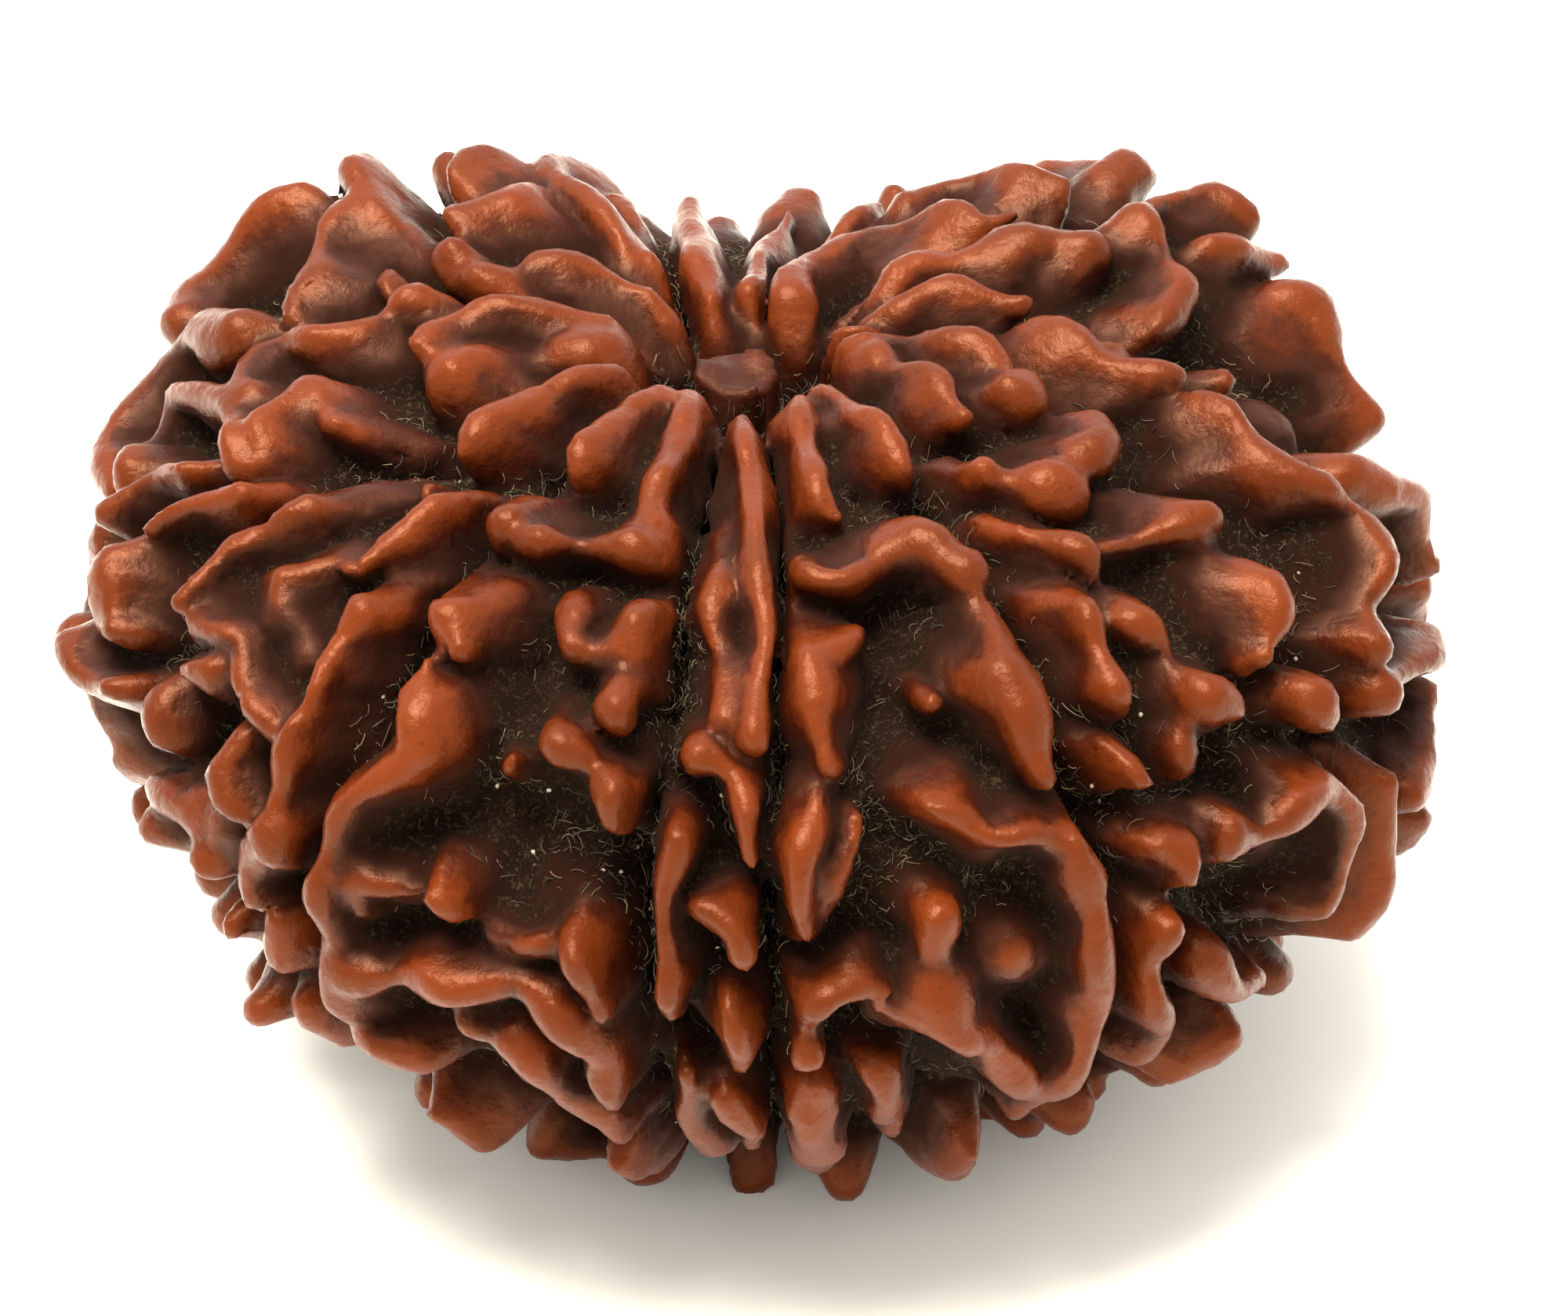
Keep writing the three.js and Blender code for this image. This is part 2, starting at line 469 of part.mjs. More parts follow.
// Distance from the bead's centre to its surface in one direction: the outermost crossing
function surfaceRadius(dir) {
  const mean = meanRadius(dir);
  const top = dir.clone().multiplyScalar(mean);
  let furrow = FAR;
  for (const piece of furrowPieces) {
    if (dir.dot(piece.towards) < piece.nearCosine) continue;
    furrow = Math.min(furrow, nearestOn(piece, top, spine).distanceTo(top));
  }
  const axisDistance = Math.hypot(top.x, top.y);
  const pit = dir.z > 0 ? PIT.depth * Math.exp(-((axisDistance / PIT.radius) ** 4)) : 0;
  const floor = mean - VALLEY_DEPTH - pit - FURROW_DEPTH * Math.exp(-((furrow / FURROW_HALF_WIDTH) ** 2));
  const near = ridgePieces.filter((piece) => dir.dot(piece.towards) > piece.nearCosine);
  const point = new THREE.Vector3();
  const distance = (radius) => {
    point.copy(dir).multiplyScalar(radius);
    let wall = FAR;
    for (const piece of near) wall = blended(wall, ridgeDistance(piece, point), RIDGE_BLEND);
    if (dir.z < STALK.nearPole) return blended(radius - floor, wall, VALLEY_BLEND);
    const pitDistance = PIT.radius - Math.hypot(point.x - PIT.x, point.y - PIT.y);
    wall = -blended(-wall, -pitDistance, PIT.rim);
    const side = Math.hypot(point.x - STALK.x, point.y - STALK.y) - STALK.radius;
    const stalk = Math.max(side, point.z - STALK.top);
    return blended(blended(radius - floor, wall, VALLEY_BLEND), stalk, STALK.blend);
  };
  let outside = mean + SEARCH.above;
  let inside = outside;
  while (distance(inside) > 0 && inside > floor - SEARCH.below) {
    outside = inside;
    inside -= SEARCH.step;
  }
  for (let i = 0; i < SEARCH.halvings; i++) {
    const middle = (inside + outside) / 2;
    if (distance(middle) > 0) outside = middle;
    else inside = middle;
  }
  return (inside + outside) / 2;
}

// The surface point in a direction, leaned with the bead and cut off at the surface that it rests on
function surfacePoint(dir) {
  const point = dir.clone().multiplyScalar(surfaceRadius(dir));
  if (point.z < -REST_HEIGHT) point.multiplyScalar(-REST_HEIGHT / point.z);
  point.x += leanSlope * point.z;
  return point;
}

// An even net of triangles round the bead, with its corners on the surface
function fineNet(division) {
  const corners = new THREE.IcosahedronGeometry(1, division - 1).getAttribute("position");
  const points = [];
  const triangles = [];
  const known = new Map();
  const cornerAt = (i) => {
    const dir = new THREE.Vector3().fromBufferAttribute(corners, i).normalize();
    const key = dir.toArray().map((v) => Math.round(v * CORNER_STEPS)).join();
    if (!known.has(key)) known.set(key, points.push(surfacePoint(dir)) - 1);
    return known.get(key);
  };
  for (let i = 0; i < corners.count; i += 3) triangles.push([i, i + 1, i + 2].map(cornerAt));
  return { points, triangles };
}

// The sum of squared distances to the planes of the triangles round a corner, as ten coefficients
class PlaneSum {
  constructor() {
    this.c = new Float64Array(10);
  }

  addPlane({ x, y, z }, d, weight) {
    const terms = [x * x, x * y, x * z, x * d, y * y, y * z, y * d, z * z, z * d, d * d];
    terms.forEach((term, i) => (this.c[i] += term * weight));
  }

  static of(a, b) {
    const sum = new PlaneSum();
    for (let i = 0; i < 10; i++) sum.c[i] = a.c[i] + b.c[i];
    return sum;
  }

  at({ x, y, z }) {
    const c = this.c;
    const square = c[0] * x * x + c[4] * y * y + c[7] * z * z + c[9];
    return square + 2 * (c[1] * x * y + c[2] * x * z + c[3] * x + c[5] * y * z + c[6] * y + c[8] * z);
  }

  // The point with the smallest sum, or nothing where the planes don't fix one
  best() {
    const [a, b, c, d, e, f, g, h, i] = this.c;
    const matrix = new THREE.Matrix3().set(a, b, c, b, e, f, c, f, h);
    if (Math.abs(matrix.determinant()) < LEAST_DETERMINANT) return undefined;
    return new THREE.Vector3(-d, -g, -i).applyMatrix3(matrix.invert());
  }
}

// A queue that gives back its cheapest entry first
class CheapestFirst {
  constructor() {
    this.entries = [];
  }

  push(entry) {
    const list = this.entries;
    let i = list.push(entry) - 1;
    while (i > 0) {
      const parent = (i - 1) >> 1;
      if (list[parent].cost <= list[i].cost) break;
      [list[parent], list[i]] = [list[i], list[parent]];
      i = parent;
    }
  }

  pop() {
    const list = this.entries;
    const first = list[0];
    const last = list.pop();
    if (!list.length) return first;
    list[0] = last;
    for (let i = 0; ; ) {
      const left = 2 * i + 1;
      let least = i;
      if (left < list.length && list[left].cost < list[least].cost) least = left;
      if (left + 1 < list.length && list[left + 1].cost < list[least].cost) least = left + 1;
      if (least === i) return first;
      [list[least], list[i]] = [list[i], list[least]];
      i = least;
    }
  }
}

// Takes out the triangles that matter least, so that those left follow the ridges
function simplified({ points, triangles }, limit) {
  const alive = triangles.map(() => true);
  const around = points.map(() => new Set());
  const sums = points.map(() => new PlaneSum());
  const age = points.map(() => 0);
  const [side, other, normal] = [new THREE.Vector3(), new THREE.Vector3(), new THREE.Vector3()];
  const normalOf = (p, q, r) => {
    side.subVectors(q, p);
    other.subVectors(r, p);
    return normal.crossVectors(side, other);
  };
  triangles.forEach((corners, t) => {
    const [p, q, r] = corners.map((i) => points[i]);
    normalOf(p, q, r);
    const area = normal.length() / 2;
    normal.normalize();
    for (const i of corners) {
      around[i].add(t);
      sums[i].addPlane(normal, -normal.dot(p), area);
    }
  });
  const neighbours = (i) => {
    const found = new Set();
    for (const t of around[i]) for (const j of triangles[t]) if (j !== i) found.add(j);
    return found;
  };
  const queue = new CheapestFirst();
  const offer = (a, b) => {
    const sum = PlaneSum.of(sums[a], sums[b]);
    const middle = points[a].clone().add(points[b]).multiplyScalar(0.5);
    const length = points[a].distanceTo(points[b]);
    const choices = [middle, points[a].clone(), points[b].clone()];
    const best = sum.best();
    if (best && best.distanceTo(middle) < length) choices.push(best);
    const costs = choices.map((place) => sum.at(place));
    const least = costs.indexOf(Math.min(...costs));
    const cost = costs[least] + MESH.lengthCost * length;
    queue.push({ a, b, place: choices[least], cost, ages: age[a] + age[b] });
  };
  // Whether the triangles round a corner stay well shaped and facing out once it moves
  const fits = (moved, kept, place) => {
    for (const t of around[moved]) {
      const corners = triangles[t];
      if (corners.includes(kept)) continue;
      const [p, q, r] = corners.map((i) => points[i]);
      const before = normalOf(p, q, r).clone();
      const [u, v, w] = corners.map((i) => (i === moved ? place : points[i]));
      const after = normalOf(u, v, w);
      const size = after.length();
      if (after.dot(before) < MESH.leastTurn * size * before.length()) return false;
      if (after.dot(u) <= MESH.leastOutward * size * u.length()) return false;
      const sides = u.distanceToSquared(v) + v.distanceToSquared(w) + w.distanceToSquared(u);
      if (size < MESH.thinnest * sides) return false;
    }
    return true;
  };
  points.forEach((_, i) => neighbours(i).forEach((j) => i < j && offer(i, j)));
  let count = triangles.length;
  while (count > limit && queue.entries.length) {
    const { a, b, place, ages } = queue.pop();
    if (!around[a].size || !around[b].size || ages !== age[a] + age[b]) continue;
    const besideA = neighbours(a);
    if (!besideA.has(b)) continue;
    const shared = [...neighbours(b)].filter((i) => besideA.has(i));
    if (shared.length !== 2 || !fits(a, b, place) || !fits(b, a, place)) continue;
    for (const t of [...around[b]]) {
      if (triangles[t].includes(a)) {
        alive[t] = false;
        triangles[t].forEach((i) => around[i].delete(t));
        count -= 1;
      } else {
        triangles[t] = triangles[t].map((i) => (i === b ? a : i));
        around[a].add(t);
      }
    }
    around[b].clear();
    points[a].copy(place);
    sums[a] = PlaneSum.of(sums[a], sums[b]);
    age[a] += MOVED;
    for (const i of neighbours(a)) {
      age[i] += 1;
      for (const j of neighbours(i)) offer(i, j);
    }
  }
  return { points, triangles: triangles.filter((_, t) => alive[t]) };
}

// The whole bead as one closed mesh, moved so that its origin is under its middle
function beadGeometry() {
  const { points, triangles } = simplified(fineNet(MESH.division), MESH.triangles);
  for (const point of points) if (point.z < FLAT_WITHIN - REST_HEIGHT) point.z = -REST_HEIGHT;
  const geometry = new THREE.BufferGeometry().setFromPoints(points);
  geometry.setIndex(triangles.flat());
  geometry.computeBoundingBox();
  const middle = geometry.boundingBox.getCenter(new THREE.Vector3());
  geometry.translate(-middle.x, -middle.y, REST_HEIGHT);
  geometry.computeVertexNormals();
  return geometry;
}

const bead = new THREE.Mesh(
  beadGeometry(),
  new THREE.MeshStandardMaterial({ color: BEAD_COLOUR, roughness: BEAD_ROUGHNESS, metalness: 0 }),
);
bead.name = "rudraksha_bead";

const part = new THREE.Group();
part.add(bead);

export default part;
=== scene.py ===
import math

import bpy
import numpy as np
from bpy.props import FloatProperty, FloatVectorProperty, IntProperty, PointerProperty
from bpy.types import Operator, Panel, PropertyGroup
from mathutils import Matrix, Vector, noise


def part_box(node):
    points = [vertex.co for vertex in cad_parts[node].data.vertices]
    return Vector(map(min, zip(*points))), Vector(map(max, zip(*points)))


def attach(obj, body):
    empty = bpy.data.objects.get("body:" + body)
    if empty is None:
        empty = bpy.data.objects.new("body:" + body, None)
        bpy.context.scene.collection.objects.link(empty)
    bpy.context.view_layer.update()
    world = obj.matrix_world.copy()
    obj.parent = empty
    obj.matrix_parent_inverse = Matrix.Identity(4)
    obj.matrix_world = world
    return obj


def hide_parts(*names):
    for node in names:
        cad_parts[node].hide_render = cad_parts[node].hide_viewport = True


bl_info = {
    "name": "Rudraksha Bead",
    "version": (1, 0, 0),
    "blender": (4, 5, 0),
    "location": "3D View > Sidebar > Rudraksha",
    "description": "Makes a dried rudraksha bead with its knobbly ridges, valley fibres and studio",
    "category": "Object",
}

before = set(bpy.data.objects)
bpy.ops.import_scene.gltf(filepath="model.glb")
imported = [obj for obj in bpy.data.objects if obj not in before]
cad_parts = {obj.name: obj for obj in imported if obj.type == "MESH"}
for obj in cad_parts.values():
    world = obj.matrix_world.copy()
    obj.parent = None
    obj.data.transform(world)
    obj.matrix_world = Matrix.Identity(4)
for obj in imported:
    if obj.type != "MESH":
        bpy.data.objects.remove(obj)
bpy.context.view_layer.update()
NODE = "rudraksha_bead"
BODY = "root"
MM = 0.001

# The least number that another one is divided by
TINY = 1e-9

# The bead's mean surface over its ridge tops
HALF_WIDTH = 14.1
HALF_DEPTH = 13.4
UPPER_HALF_HEIGHT = 7.5
LOWER_HALF_HEIGHT = 9.5
UPPER_SQUARENESS = 3.0
LOWER_SQUARENESS = 1.9

# How many degrees the bead leans to the right, how high its centre stands over the floor, and how near the
# floor a point has to be to join the flat that the bead rests on
LEAN = -2
REST_HEIGHT = 8.6
FLAT_WITHIN = 0.07

# The relief, measured inwards from the mean surface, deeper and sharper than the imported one
VALLEY_DEPTH = 2.15
FURROW_DEPTH = 1.1
FURROW_HALF_WIDTH = 0.55
RIDGE_BLEND = 0.22
CLEFT_HALF_WIDTH = 0.1
CLEFT_ROUNDING = 0.35

# The slow swells of the valley floor: their height, their waves along each axis, a shift, and the share and
# waves of the finer ones
FLOOR_SWELL = {
    "height": 0.28,
    "x": 1.1,
    "y": 1.3,
    "z": 0.4,
    "shift": 0.5,
    "finer": 0.6,
    "finer_y": 2.3,
    "finer_z": 1.9,
}

# The hollow at each pole, and the rest of the fruit stalk that stands in the upper one
UPPER_HOLLOW = {"depth": 1.4, "spread": 16}
LOWER_HOLLOW = {"depth": 0.6, "spread": 14}
PIT = {"radius": 1.75, "depth": 1.9, "steepness": 4, "x": -0.1, "y": 0.0, "rim": 0.7}
STALK = {
    "radius": 0.85,
    "x": -0.25,
    "y": 0.1,
    "top": 6.35,
    "blend": 0.2,
    "side_rough": 0.1,
    "side_waves": (5, 3),
    "top_rough": 0.18,
    "top_waves": (2.5, 3.1),
    "shift": 1,
}

# Broad swells and flats of the bead: longitude, latitude, height and spread
SWELLS = [
    (-137, 30, 1.5, 20),
    (132, 28, 1.4, 20),
    (-98, 22, -0.8, 16),
    (100, 24, -0.6, 16),
    (180, 38, -2.0, 30),
    (-75, -25, -0.8, 22),
    (82, -28, -0.2, 18),
    (-25, -58, 0.9, 20),
    (16, -58, 0.7, 20),
    (0, -30, -0.3, 25),
]


def ridge(half, rise, *run):
    """A ridge or knob: half its thickness, how far its top stands over the mean surface, and its run."""
    return {"half": half, "rise": rise, "run": run}


# Smooth webs that fill the valleys part of the way up between some ridges: longitude, latitude, height
# over the valley floor and spread
WEBS = [
    (23, 4, 1.4, 7),
    (16, 9, 1.3, 4),
    (-24, 0, 1.35, 6),
    (-18, 10, 0.6, 4),
    (-134, 47, 1.2, 7),
    (122, 46, 1.2, 7),
    (128, 58, 1.0, 5),
    (-96, 56, 1.2, 6),
    (80, 56, 1.2, 6),
    (-32, 60, 1.15, 5),
    (31, 62, 1.0, 5),
    (44, 22, 1.1, 5),
    (-18, 32, 0.9, 3),
    (52, 4, 1.1, 5),
    (38, -3, 1.0, 4),
    (30, 22, 1.2, 3),
    (-47, 17, 1.0, 4),
    (-66, -4, 1.1, 4),
    (8, -20, 1.1, 5),
    (34, -24, 1.0, 4),
    (113, 30, 1.2, 6),
    (97, 24, 1.0, 5),
    (-124, 22, 1.2, 4),
    (-128, 32, 1.2, 4),
    (-94, 30, 1.1, 4),
    (-78, 14, 1.1, 4),
    (-60, 24, 1.1, 4),
    (82, 14, 1.0, 4),
    (73, 18, 1.1, 4),
    (66, 0, 0.9, 4),
    (-22, -16, 1.1, 5),
    (19, -16, 0.6, 4),
    (-1, 35, 0.9, 3),
    (170, 30, 1.0, 6),
    (-170, 20, 1.0, 6),
]

# The ten furrows from pole to pole, in order to the right from the front, and then the ridges that the
# bead shows, lobe by lobe to the right from the narrow front one
FURROWS = [
    [(14, 76), (9, 60), (7.5, 50), (5.8, 40), (3.8, 30), (2.8, 20), (1.6, 10), (1.3, 0), (1, -10),
      (1.5, -22), (2, -55), (3, -82)],
    [(50, 76), (44, 62), (40, 52), (36.5, 43), (34, 35), (32.8, 27), (31.6, 20), (31.2, 12),
      (31.8, 4), (31.2, -4), (30, -12), (31, -25), (31, -55), (34, -82)],
    [(108, 76), (101, 66), (93, 58), (82, 50.5), (75, 43), (71, 36), (67, 27), (63, 20), (61, 12),
      (60, 3), (59.5, -5), (57, -15), (57, -50), (60, -82)],
    [(138, 76), (138, 62), (135, 51), (129, 44), (128.5, 37), (131, 27), (132, 10), (130, -12),
      (128, -50), (126, -82)],
    [(168, 76), (172, 62), (172, 50), (169, 40), (167, 30), (158, 10), (152, -10), (150, -50),
      (150, -82)],
    [(204, 76), (202, 62), (199, 50), (195, 40), (192, 30), (188, 0), (190, -50), (190, -82)],
    [(240, 78), (244, 70), (249, 61), (252.5, 53), (250, 47), (241, 42.5), (231, 39), (222, 34),
      (220, 22), (224, 5), (230, -12), (234, -50), (236, -82)],
    [(280, 76), (287, 66), (290, 55), (291.5, 45), (293.5, 36), (295, 30), (294.2, 25), (294.5, 21),
      (297.5, 18), (298, 12), (297.5, 4), (297, -5), (298, -20), (300, -50), (300, -82)],
    [(310, 76), (314, 66), (316, 58), (316.5, 50), (319, 42), (321, 34), (321.5, 28), (323, 20),
      (321.5, 13), (320.5, 6), (320.5, 0), (320.5, -6), (321.5, -14), (322, -50), (322, -82)],
    [(350, 76), (351, 60), (350.5, 50), (351.6, 40), (352.2, 30), (351.2, 18), (350.5, 8), (350, 0),
      (350, -10), (351, -20), (351, -55), (348, -82)],
]

FRONT_LOBE = [
    ridge(0.42, 0.05, (0, 67), (1, 58), (2, 50), (2.5, 42), (2.2, 35), (1.5, 30), (0.5, 26)),
    ridge(0.5, -0.35, (-3.5, 46), (-3.2, 40), (-3.5, 36), (-2, 31), (-2, 27)),
    ridge(0.42, 0, (-4, 24), (-1.5, 23), (0.2, 20), (0.5, 16)),
    ridge(0.4, -0.1, (-6.5, 17), (-6.8, 10), (-7, 4), (-6.8, 1)),
    ridge(0.42, 0, (-3.5, 11.5), (-1.5, 10.5), (-0.8, 8), (-0.4, 6.6)),
    ridge(0.42, 0.05, (-2, 3), (-1.3, 0), (-1.2, -4)),
    ridge(0.6, -0.2, (-6.5, -6), (-5.5, -14), (-5, -22)),
    ridge(0.45, 0, (-3, -8), (-1, -13), (-1, -20)),
]

FIRST_RIGHT_LOBE = [
    ridge(0.55, 0.1, (55, 78), (42, 70), (37, 62), (35, 57), (33, 52)),
    ridge(0.45, 0.05, (30, 73), (20, 66), (17, 60), (14.5, 54), (14, 50), (16, 47.5)),
    ridge(0.9, -0.5, (30, 69), (25, 63)),
    ridge(0.42, 0, (8, 40.5), (12, 39.5), (16, 40.5), (20, 41.5), (25, 42)),
    ridge(0.7, 0.15, (26, 41.5), (29, 40)),
    ridge(0.52, 0.05, (28.7, 38), (28.2, 35), (27.5, 31), (27, 28)),
    ridge(0.85, 0.15, (26, 27), (26.5, 23), (26.5, 19.5)),
    ridge(0.5, 0, (7, 31.5), (9, 32.5), (13, 33.5)),
    ridge(0.58, 0.1, (7, 31), (6.8, 27), (7.5, 23)),
    ridge(0.45, 0.05, (6, 20.5), (4.5, 17), (4, 13), (4.5, 9.5)),
    ridge(0.5, -0.4, (9, 18.5), (7.5, 14.5), (5.8, 11.5)),
    ridge(0.42, -0.4, (19, 27)),
    ridge(0.4, -0.05, (16, 19.3), (18.5, 18.3), (20.5, 16), (23.5, 15.7), (26, 14.5)),
    ridge(0.6, 0.05, (27.5, 14.5), (28, 11), (28.5, 7), (28.5, 3), (28.3, -1), (27.5, -6), (26, -11),
      (24, -16)),
    ridge(0.95, 0, (15.2, 10), (15.5, 5.5), (15, 2)),
    ridge(0.42, 0, (4, -1.5), (4, 1), (5, 3.5), (7.5, 4.8), (10.5, 4)),
    ridge(0.5, -0.05, (10, 2.5), (13, 0.5), (16, -0.5), (19, -3), (22, -8), (24.5, -12)),
    ridge(0.85, 0, (4.8, -7), (4.5, -13), (5.5, -22), (6, -34)),
    ridge(0.6, -0.3, (10, -6), (12, -14), (14, -24)),
    ridge(0.8, 0.3, (21, -24), (22, -34)),
]

SECOND_RIGHT_LOBE = [
    ridge(0.7, 0, (104, 72), (96, 65), (87, 59.5), (81, 55), (75, 52), (70, 51)),
    ridge(0.5, 0, (84, 69), (73, 66), (66, 61), (60, 57), (56, 54)),
    ridge(0.5, 0, (44, 47), (47, 44.5), (48.5, 43)),
    ridge(0.75, 0.1, (51, 41.5), (55, 42), (60, 42), (66, 42), (69, 43)),
    ridge(0.5, -0.15, (48, 34), (53, 33), (58, 32)),
    ridge(0.68, 0.1, (60, 31.5), (61.5, 31.5)),
    ridge(0.5, 0, (39.5, 39.5), (41.5, 37), (43.5, 34.5), (43, 32.8)),
    ridge(0.45, 0, (38.3, 31), (37.5, 28), (36.8, 25), (36.7, 22.8)),
    ridge(0.68, 0.05, (57.5, 24.5), (55.5, 22.3), (52.5, 21)),
    ridge(0.58, -0.35, (43, 28.5), (45, 26), (44, 23)),
    ridge(0.72, 0, (44.5, 20.5), (47, 18.5)),
    ridge(0.5, -0.5, (42, 18), (41, 15)),
    ridge(0.4, 0, (33.8, 19), (34.8, 17)),
    ridge(0.55, 0.05, (55.5, 15.5), (57, 13)),
    ridge(0.62, 0.05, (35, 11), (37, 10), (37, 7.8)),
    ridge(0.5, 0, (42, 9.5), (46, 8.2), (50, 9), (53.5, 8.5), (56, 5), (56, 0), (54.5, -4)),
    ridge(0.5, 0, (35, 4), (34, 1), (34, -3), (36, -7.5), (35.5, -11)),
    ridge(0.5, 0, (39.5, -2), (43, -6), (48, -9)),
    ridge(0.6, 0.2, (45, -14), (41, -18)),
]

THIRD_RIGHT_LOBE = [
    ridge(0.75, 0.1, (97, 50), (93, 48.3)),
    ridge(0.5, 0, (93, 48), (88, 46), (85.5, 43), (85, 39), (86.5, 36.5)),
    ridge(0.35, -0.2, (92, 45), (89.5, 42.5)),
    ridge(0.5, 0, (91, 33)),
    ridge(0.55, 0.05, (82, 35.5), (79, 33), (75.5, 29.5), (75, 26.5), (76.5, 23.5), (76, 20.5),
      (72, 18.5), (68.5, 16.8), (65.5, 15.3)),
    ridge(0.55, 0, (118, 68), (115, 63), (113, 58), (109, 54), (105, 51)),
    ridge(0.8, 0.05, (131, 58), (128, 54), (124, 50.5), (122, 46.5), (121, 43), (117, 42)),
    ridge(0.6, 0, (121, 36.5), (115, 35.5), (109, 35.5), (105, 37), (100, 38)),
    ridge(0.75, 0.1, (116, 32), (117, 28), (118, 24)),
    ridge(0.6, 0.3, (123, 35), (125, 30), (122, 27)),
    ridge(1.0, 0.1, (112, 22), (107, 18), (103, 15)),
    ridge(0.75, 0.2, (83, 22), (86, 18), (89, 14), (88, 9)),
    ridge(0.5, 0, (64.5, 11.5), (67.5, 11), (72, 9.5), (78, 7.5)),
    ridge(0.55, 0, (80, 2), (75, 0), (69, -1.5)),
    ridge(0.65, 0.15, (64.5, 3), (63.5, -4), (62, -10)),
]

FOURTH_RIGHT_LOBE = [
    ridge(0.52, 0, (160, 66), (161, 58), (158, 50), (154, 46), (147, 45.5), (140, 45.5), (134, 46),
      (131.5, 44)),
    ridge(0.6, 0.1, (165, 62), (163.5, 50), (161.5, 43), (160, 37)),
    ridge(0.6, 0.1, (152, 39), (146, 37), (139, 38), (134, 37)),
]

BACK_LOBE = [
    ridge(0.5, 0, (176, 62), (176.5, 50), (176.5, 40), (174, 33)),
    ridge(0.6, 0.2, (-165, 66), (-168, 56), (-170, 48), (-170.5, 40), (-172, 33)),
]

FOURTH_LEFT_LOBE = [
    ridge(0.6, 0.35, (-160, 34), (-154, 35), (-150, 39.5), (-151, 46), (-150, 53)),
    ridge(0.6, -0.1, (-157, 54), (-158, 46), (-159, 39)),
    ridge(0.7, 0.15, (-128, 44.5), (-133, 45), (-140, 45), (-146, 43)),
    ridge(0.6, 0.1, (-124, 46), (-118, 47.5)),
    ridge(0.55, 0.2, (-138, 39), (-144, 37), (-149, 36)),
    ridge(0.6, 0, (-113.5, 51), (-119, 53), (-126, 55), (-134, 58), (-141, 64)),
]

THIRD_LEFT_LOBE = [
    ridge(0.6, 0.1, (-88, 48), (-94, 50), (-98, 53), (-101, 57), (-105, 62), (-108, 68)),
    ridge(0.95, -0.3, (-82, 49.5), (-87, 54), (-90, 60), (-94, 66)),
    ridge(0.5, 0.05, (-104, 46.5), (-101, 44.5), (-96, 41), (-95, 38), (-98, 34.5), (-97, 31.5),
      (-92, 30.5), (-88, 31)),
    ridge(0.5, 0, (-85, 36.5), (-80, 35.5), (-76, 33.5), (-73, 32.5)),
    ridge(0.5, 0, (-83, 37), (-77, 38), (-73, 39)),
    ridge(0.55, 0, (-75, 30.5), (-80, 31.5), (-86, 30), (-93, 26.5), (-98, 22.5), (-94, 19.5),
      (-88, 19)),
    ridge(0.8, 0.2, (-103, 29), (-108, 23), (-106, 17), (-98, 14), (-92, 15)),
    ridge(0.75, 0.2, (-126, 31), (-122, 26), (-118, 21), (-113, 20)),
    ridge(0.6, 0, (-125, 36), (-118, 35), (-110, 35), (-103, 34.5)),
    ridge(0.75, 0.2, (-134, 31), (-130, 34), (-125, 37.5)),
    ridge(0.5, -0.4, (-112, 41), (-108, 42)),
    ridge(0.5, 0, (-78, 27), (-82, 23), (-83, 18)),
    ridge(0.4, 0, (-69, 30), (-71, 26), (-73.5, 22.5)),
    ridge(0.9, 0.2, (-74, 19.5), (-72, 16), (-68.5, 15)),
    ridge(0.55, 0.15, (-76, 9), (-70, 9), (-65.5, 11)),
]

SECOND_LEFT_LOBE = [
    ridge(0.65, 0.05, (-64, 69), (-61, 61), (-58, 55), (-56, 50), (-54.5, 46.5)),
    ridge(0.5, 0.1, (-44.5, 42.5), (-45.5, 39), (-45.7, 36), (-46.5, 32.5)),
    ridge(0.3, -0.5, (-53, 40.5), (-51, 39)),
    ridge(0.5, 0, (-59.5, 33.5), (-60.5, 30), (-61.5, 27)),
    ridge(0.7, 0.1, (-61.5, 25), (-61, 22)),
    ridge(0.5, -0.1, (-58, 21.5), (-54, 22), (-51, 20.5), (-49, 19.5)),
    ridge(0.95, -0.5, (-54, 26), (-50, 24), (-47, 23)),
    ridge(0.35, -0.25, (-54, 28), (-51.5, 31), (-49, 31.5)),
    ridge(0.45, 0, (-42.5, 29), (-42.6, 26), (-42, 22)),
    ridge(0.55, 0.1, (-42, 20), (-42, 16), (-41.8, 12), (-41.5, 9)),
    ridge(0.72, 0.1, (-47.5, 19.2), (-45, 18)),
    ridge(0.62, 0, (-48, 15.5), (-48, 12), (-45, 10.5)),
    ridge(0.5, 0, (-54, 18.5), (-57, 17.5)),
    ridge(0.6, -0.15, (-59.5, 13), (-57.5, 10.5)),
    ridge(0.9, 0.05, (-58.5, 5.5), (-54, 6.5), (-50, 7)),
    ridge(0.7, 0, (-58, 2.5), (-53, 3), (-50, 4)),
    ridge(0.6, 0.1, (-44, 7.5), (-45.3, 5), (-44.5, 2.5)),
    ridge(0.35, 0, (-47.5, -2)),
    ridge(0.45, 0.05, (-42.6, 1), (-42.6, -3)),
    ridge(0.58, 0.35, (-46.5, -10)),
    ridge(0.5, 0, (-42, -8), (-41.5, -14)),
]

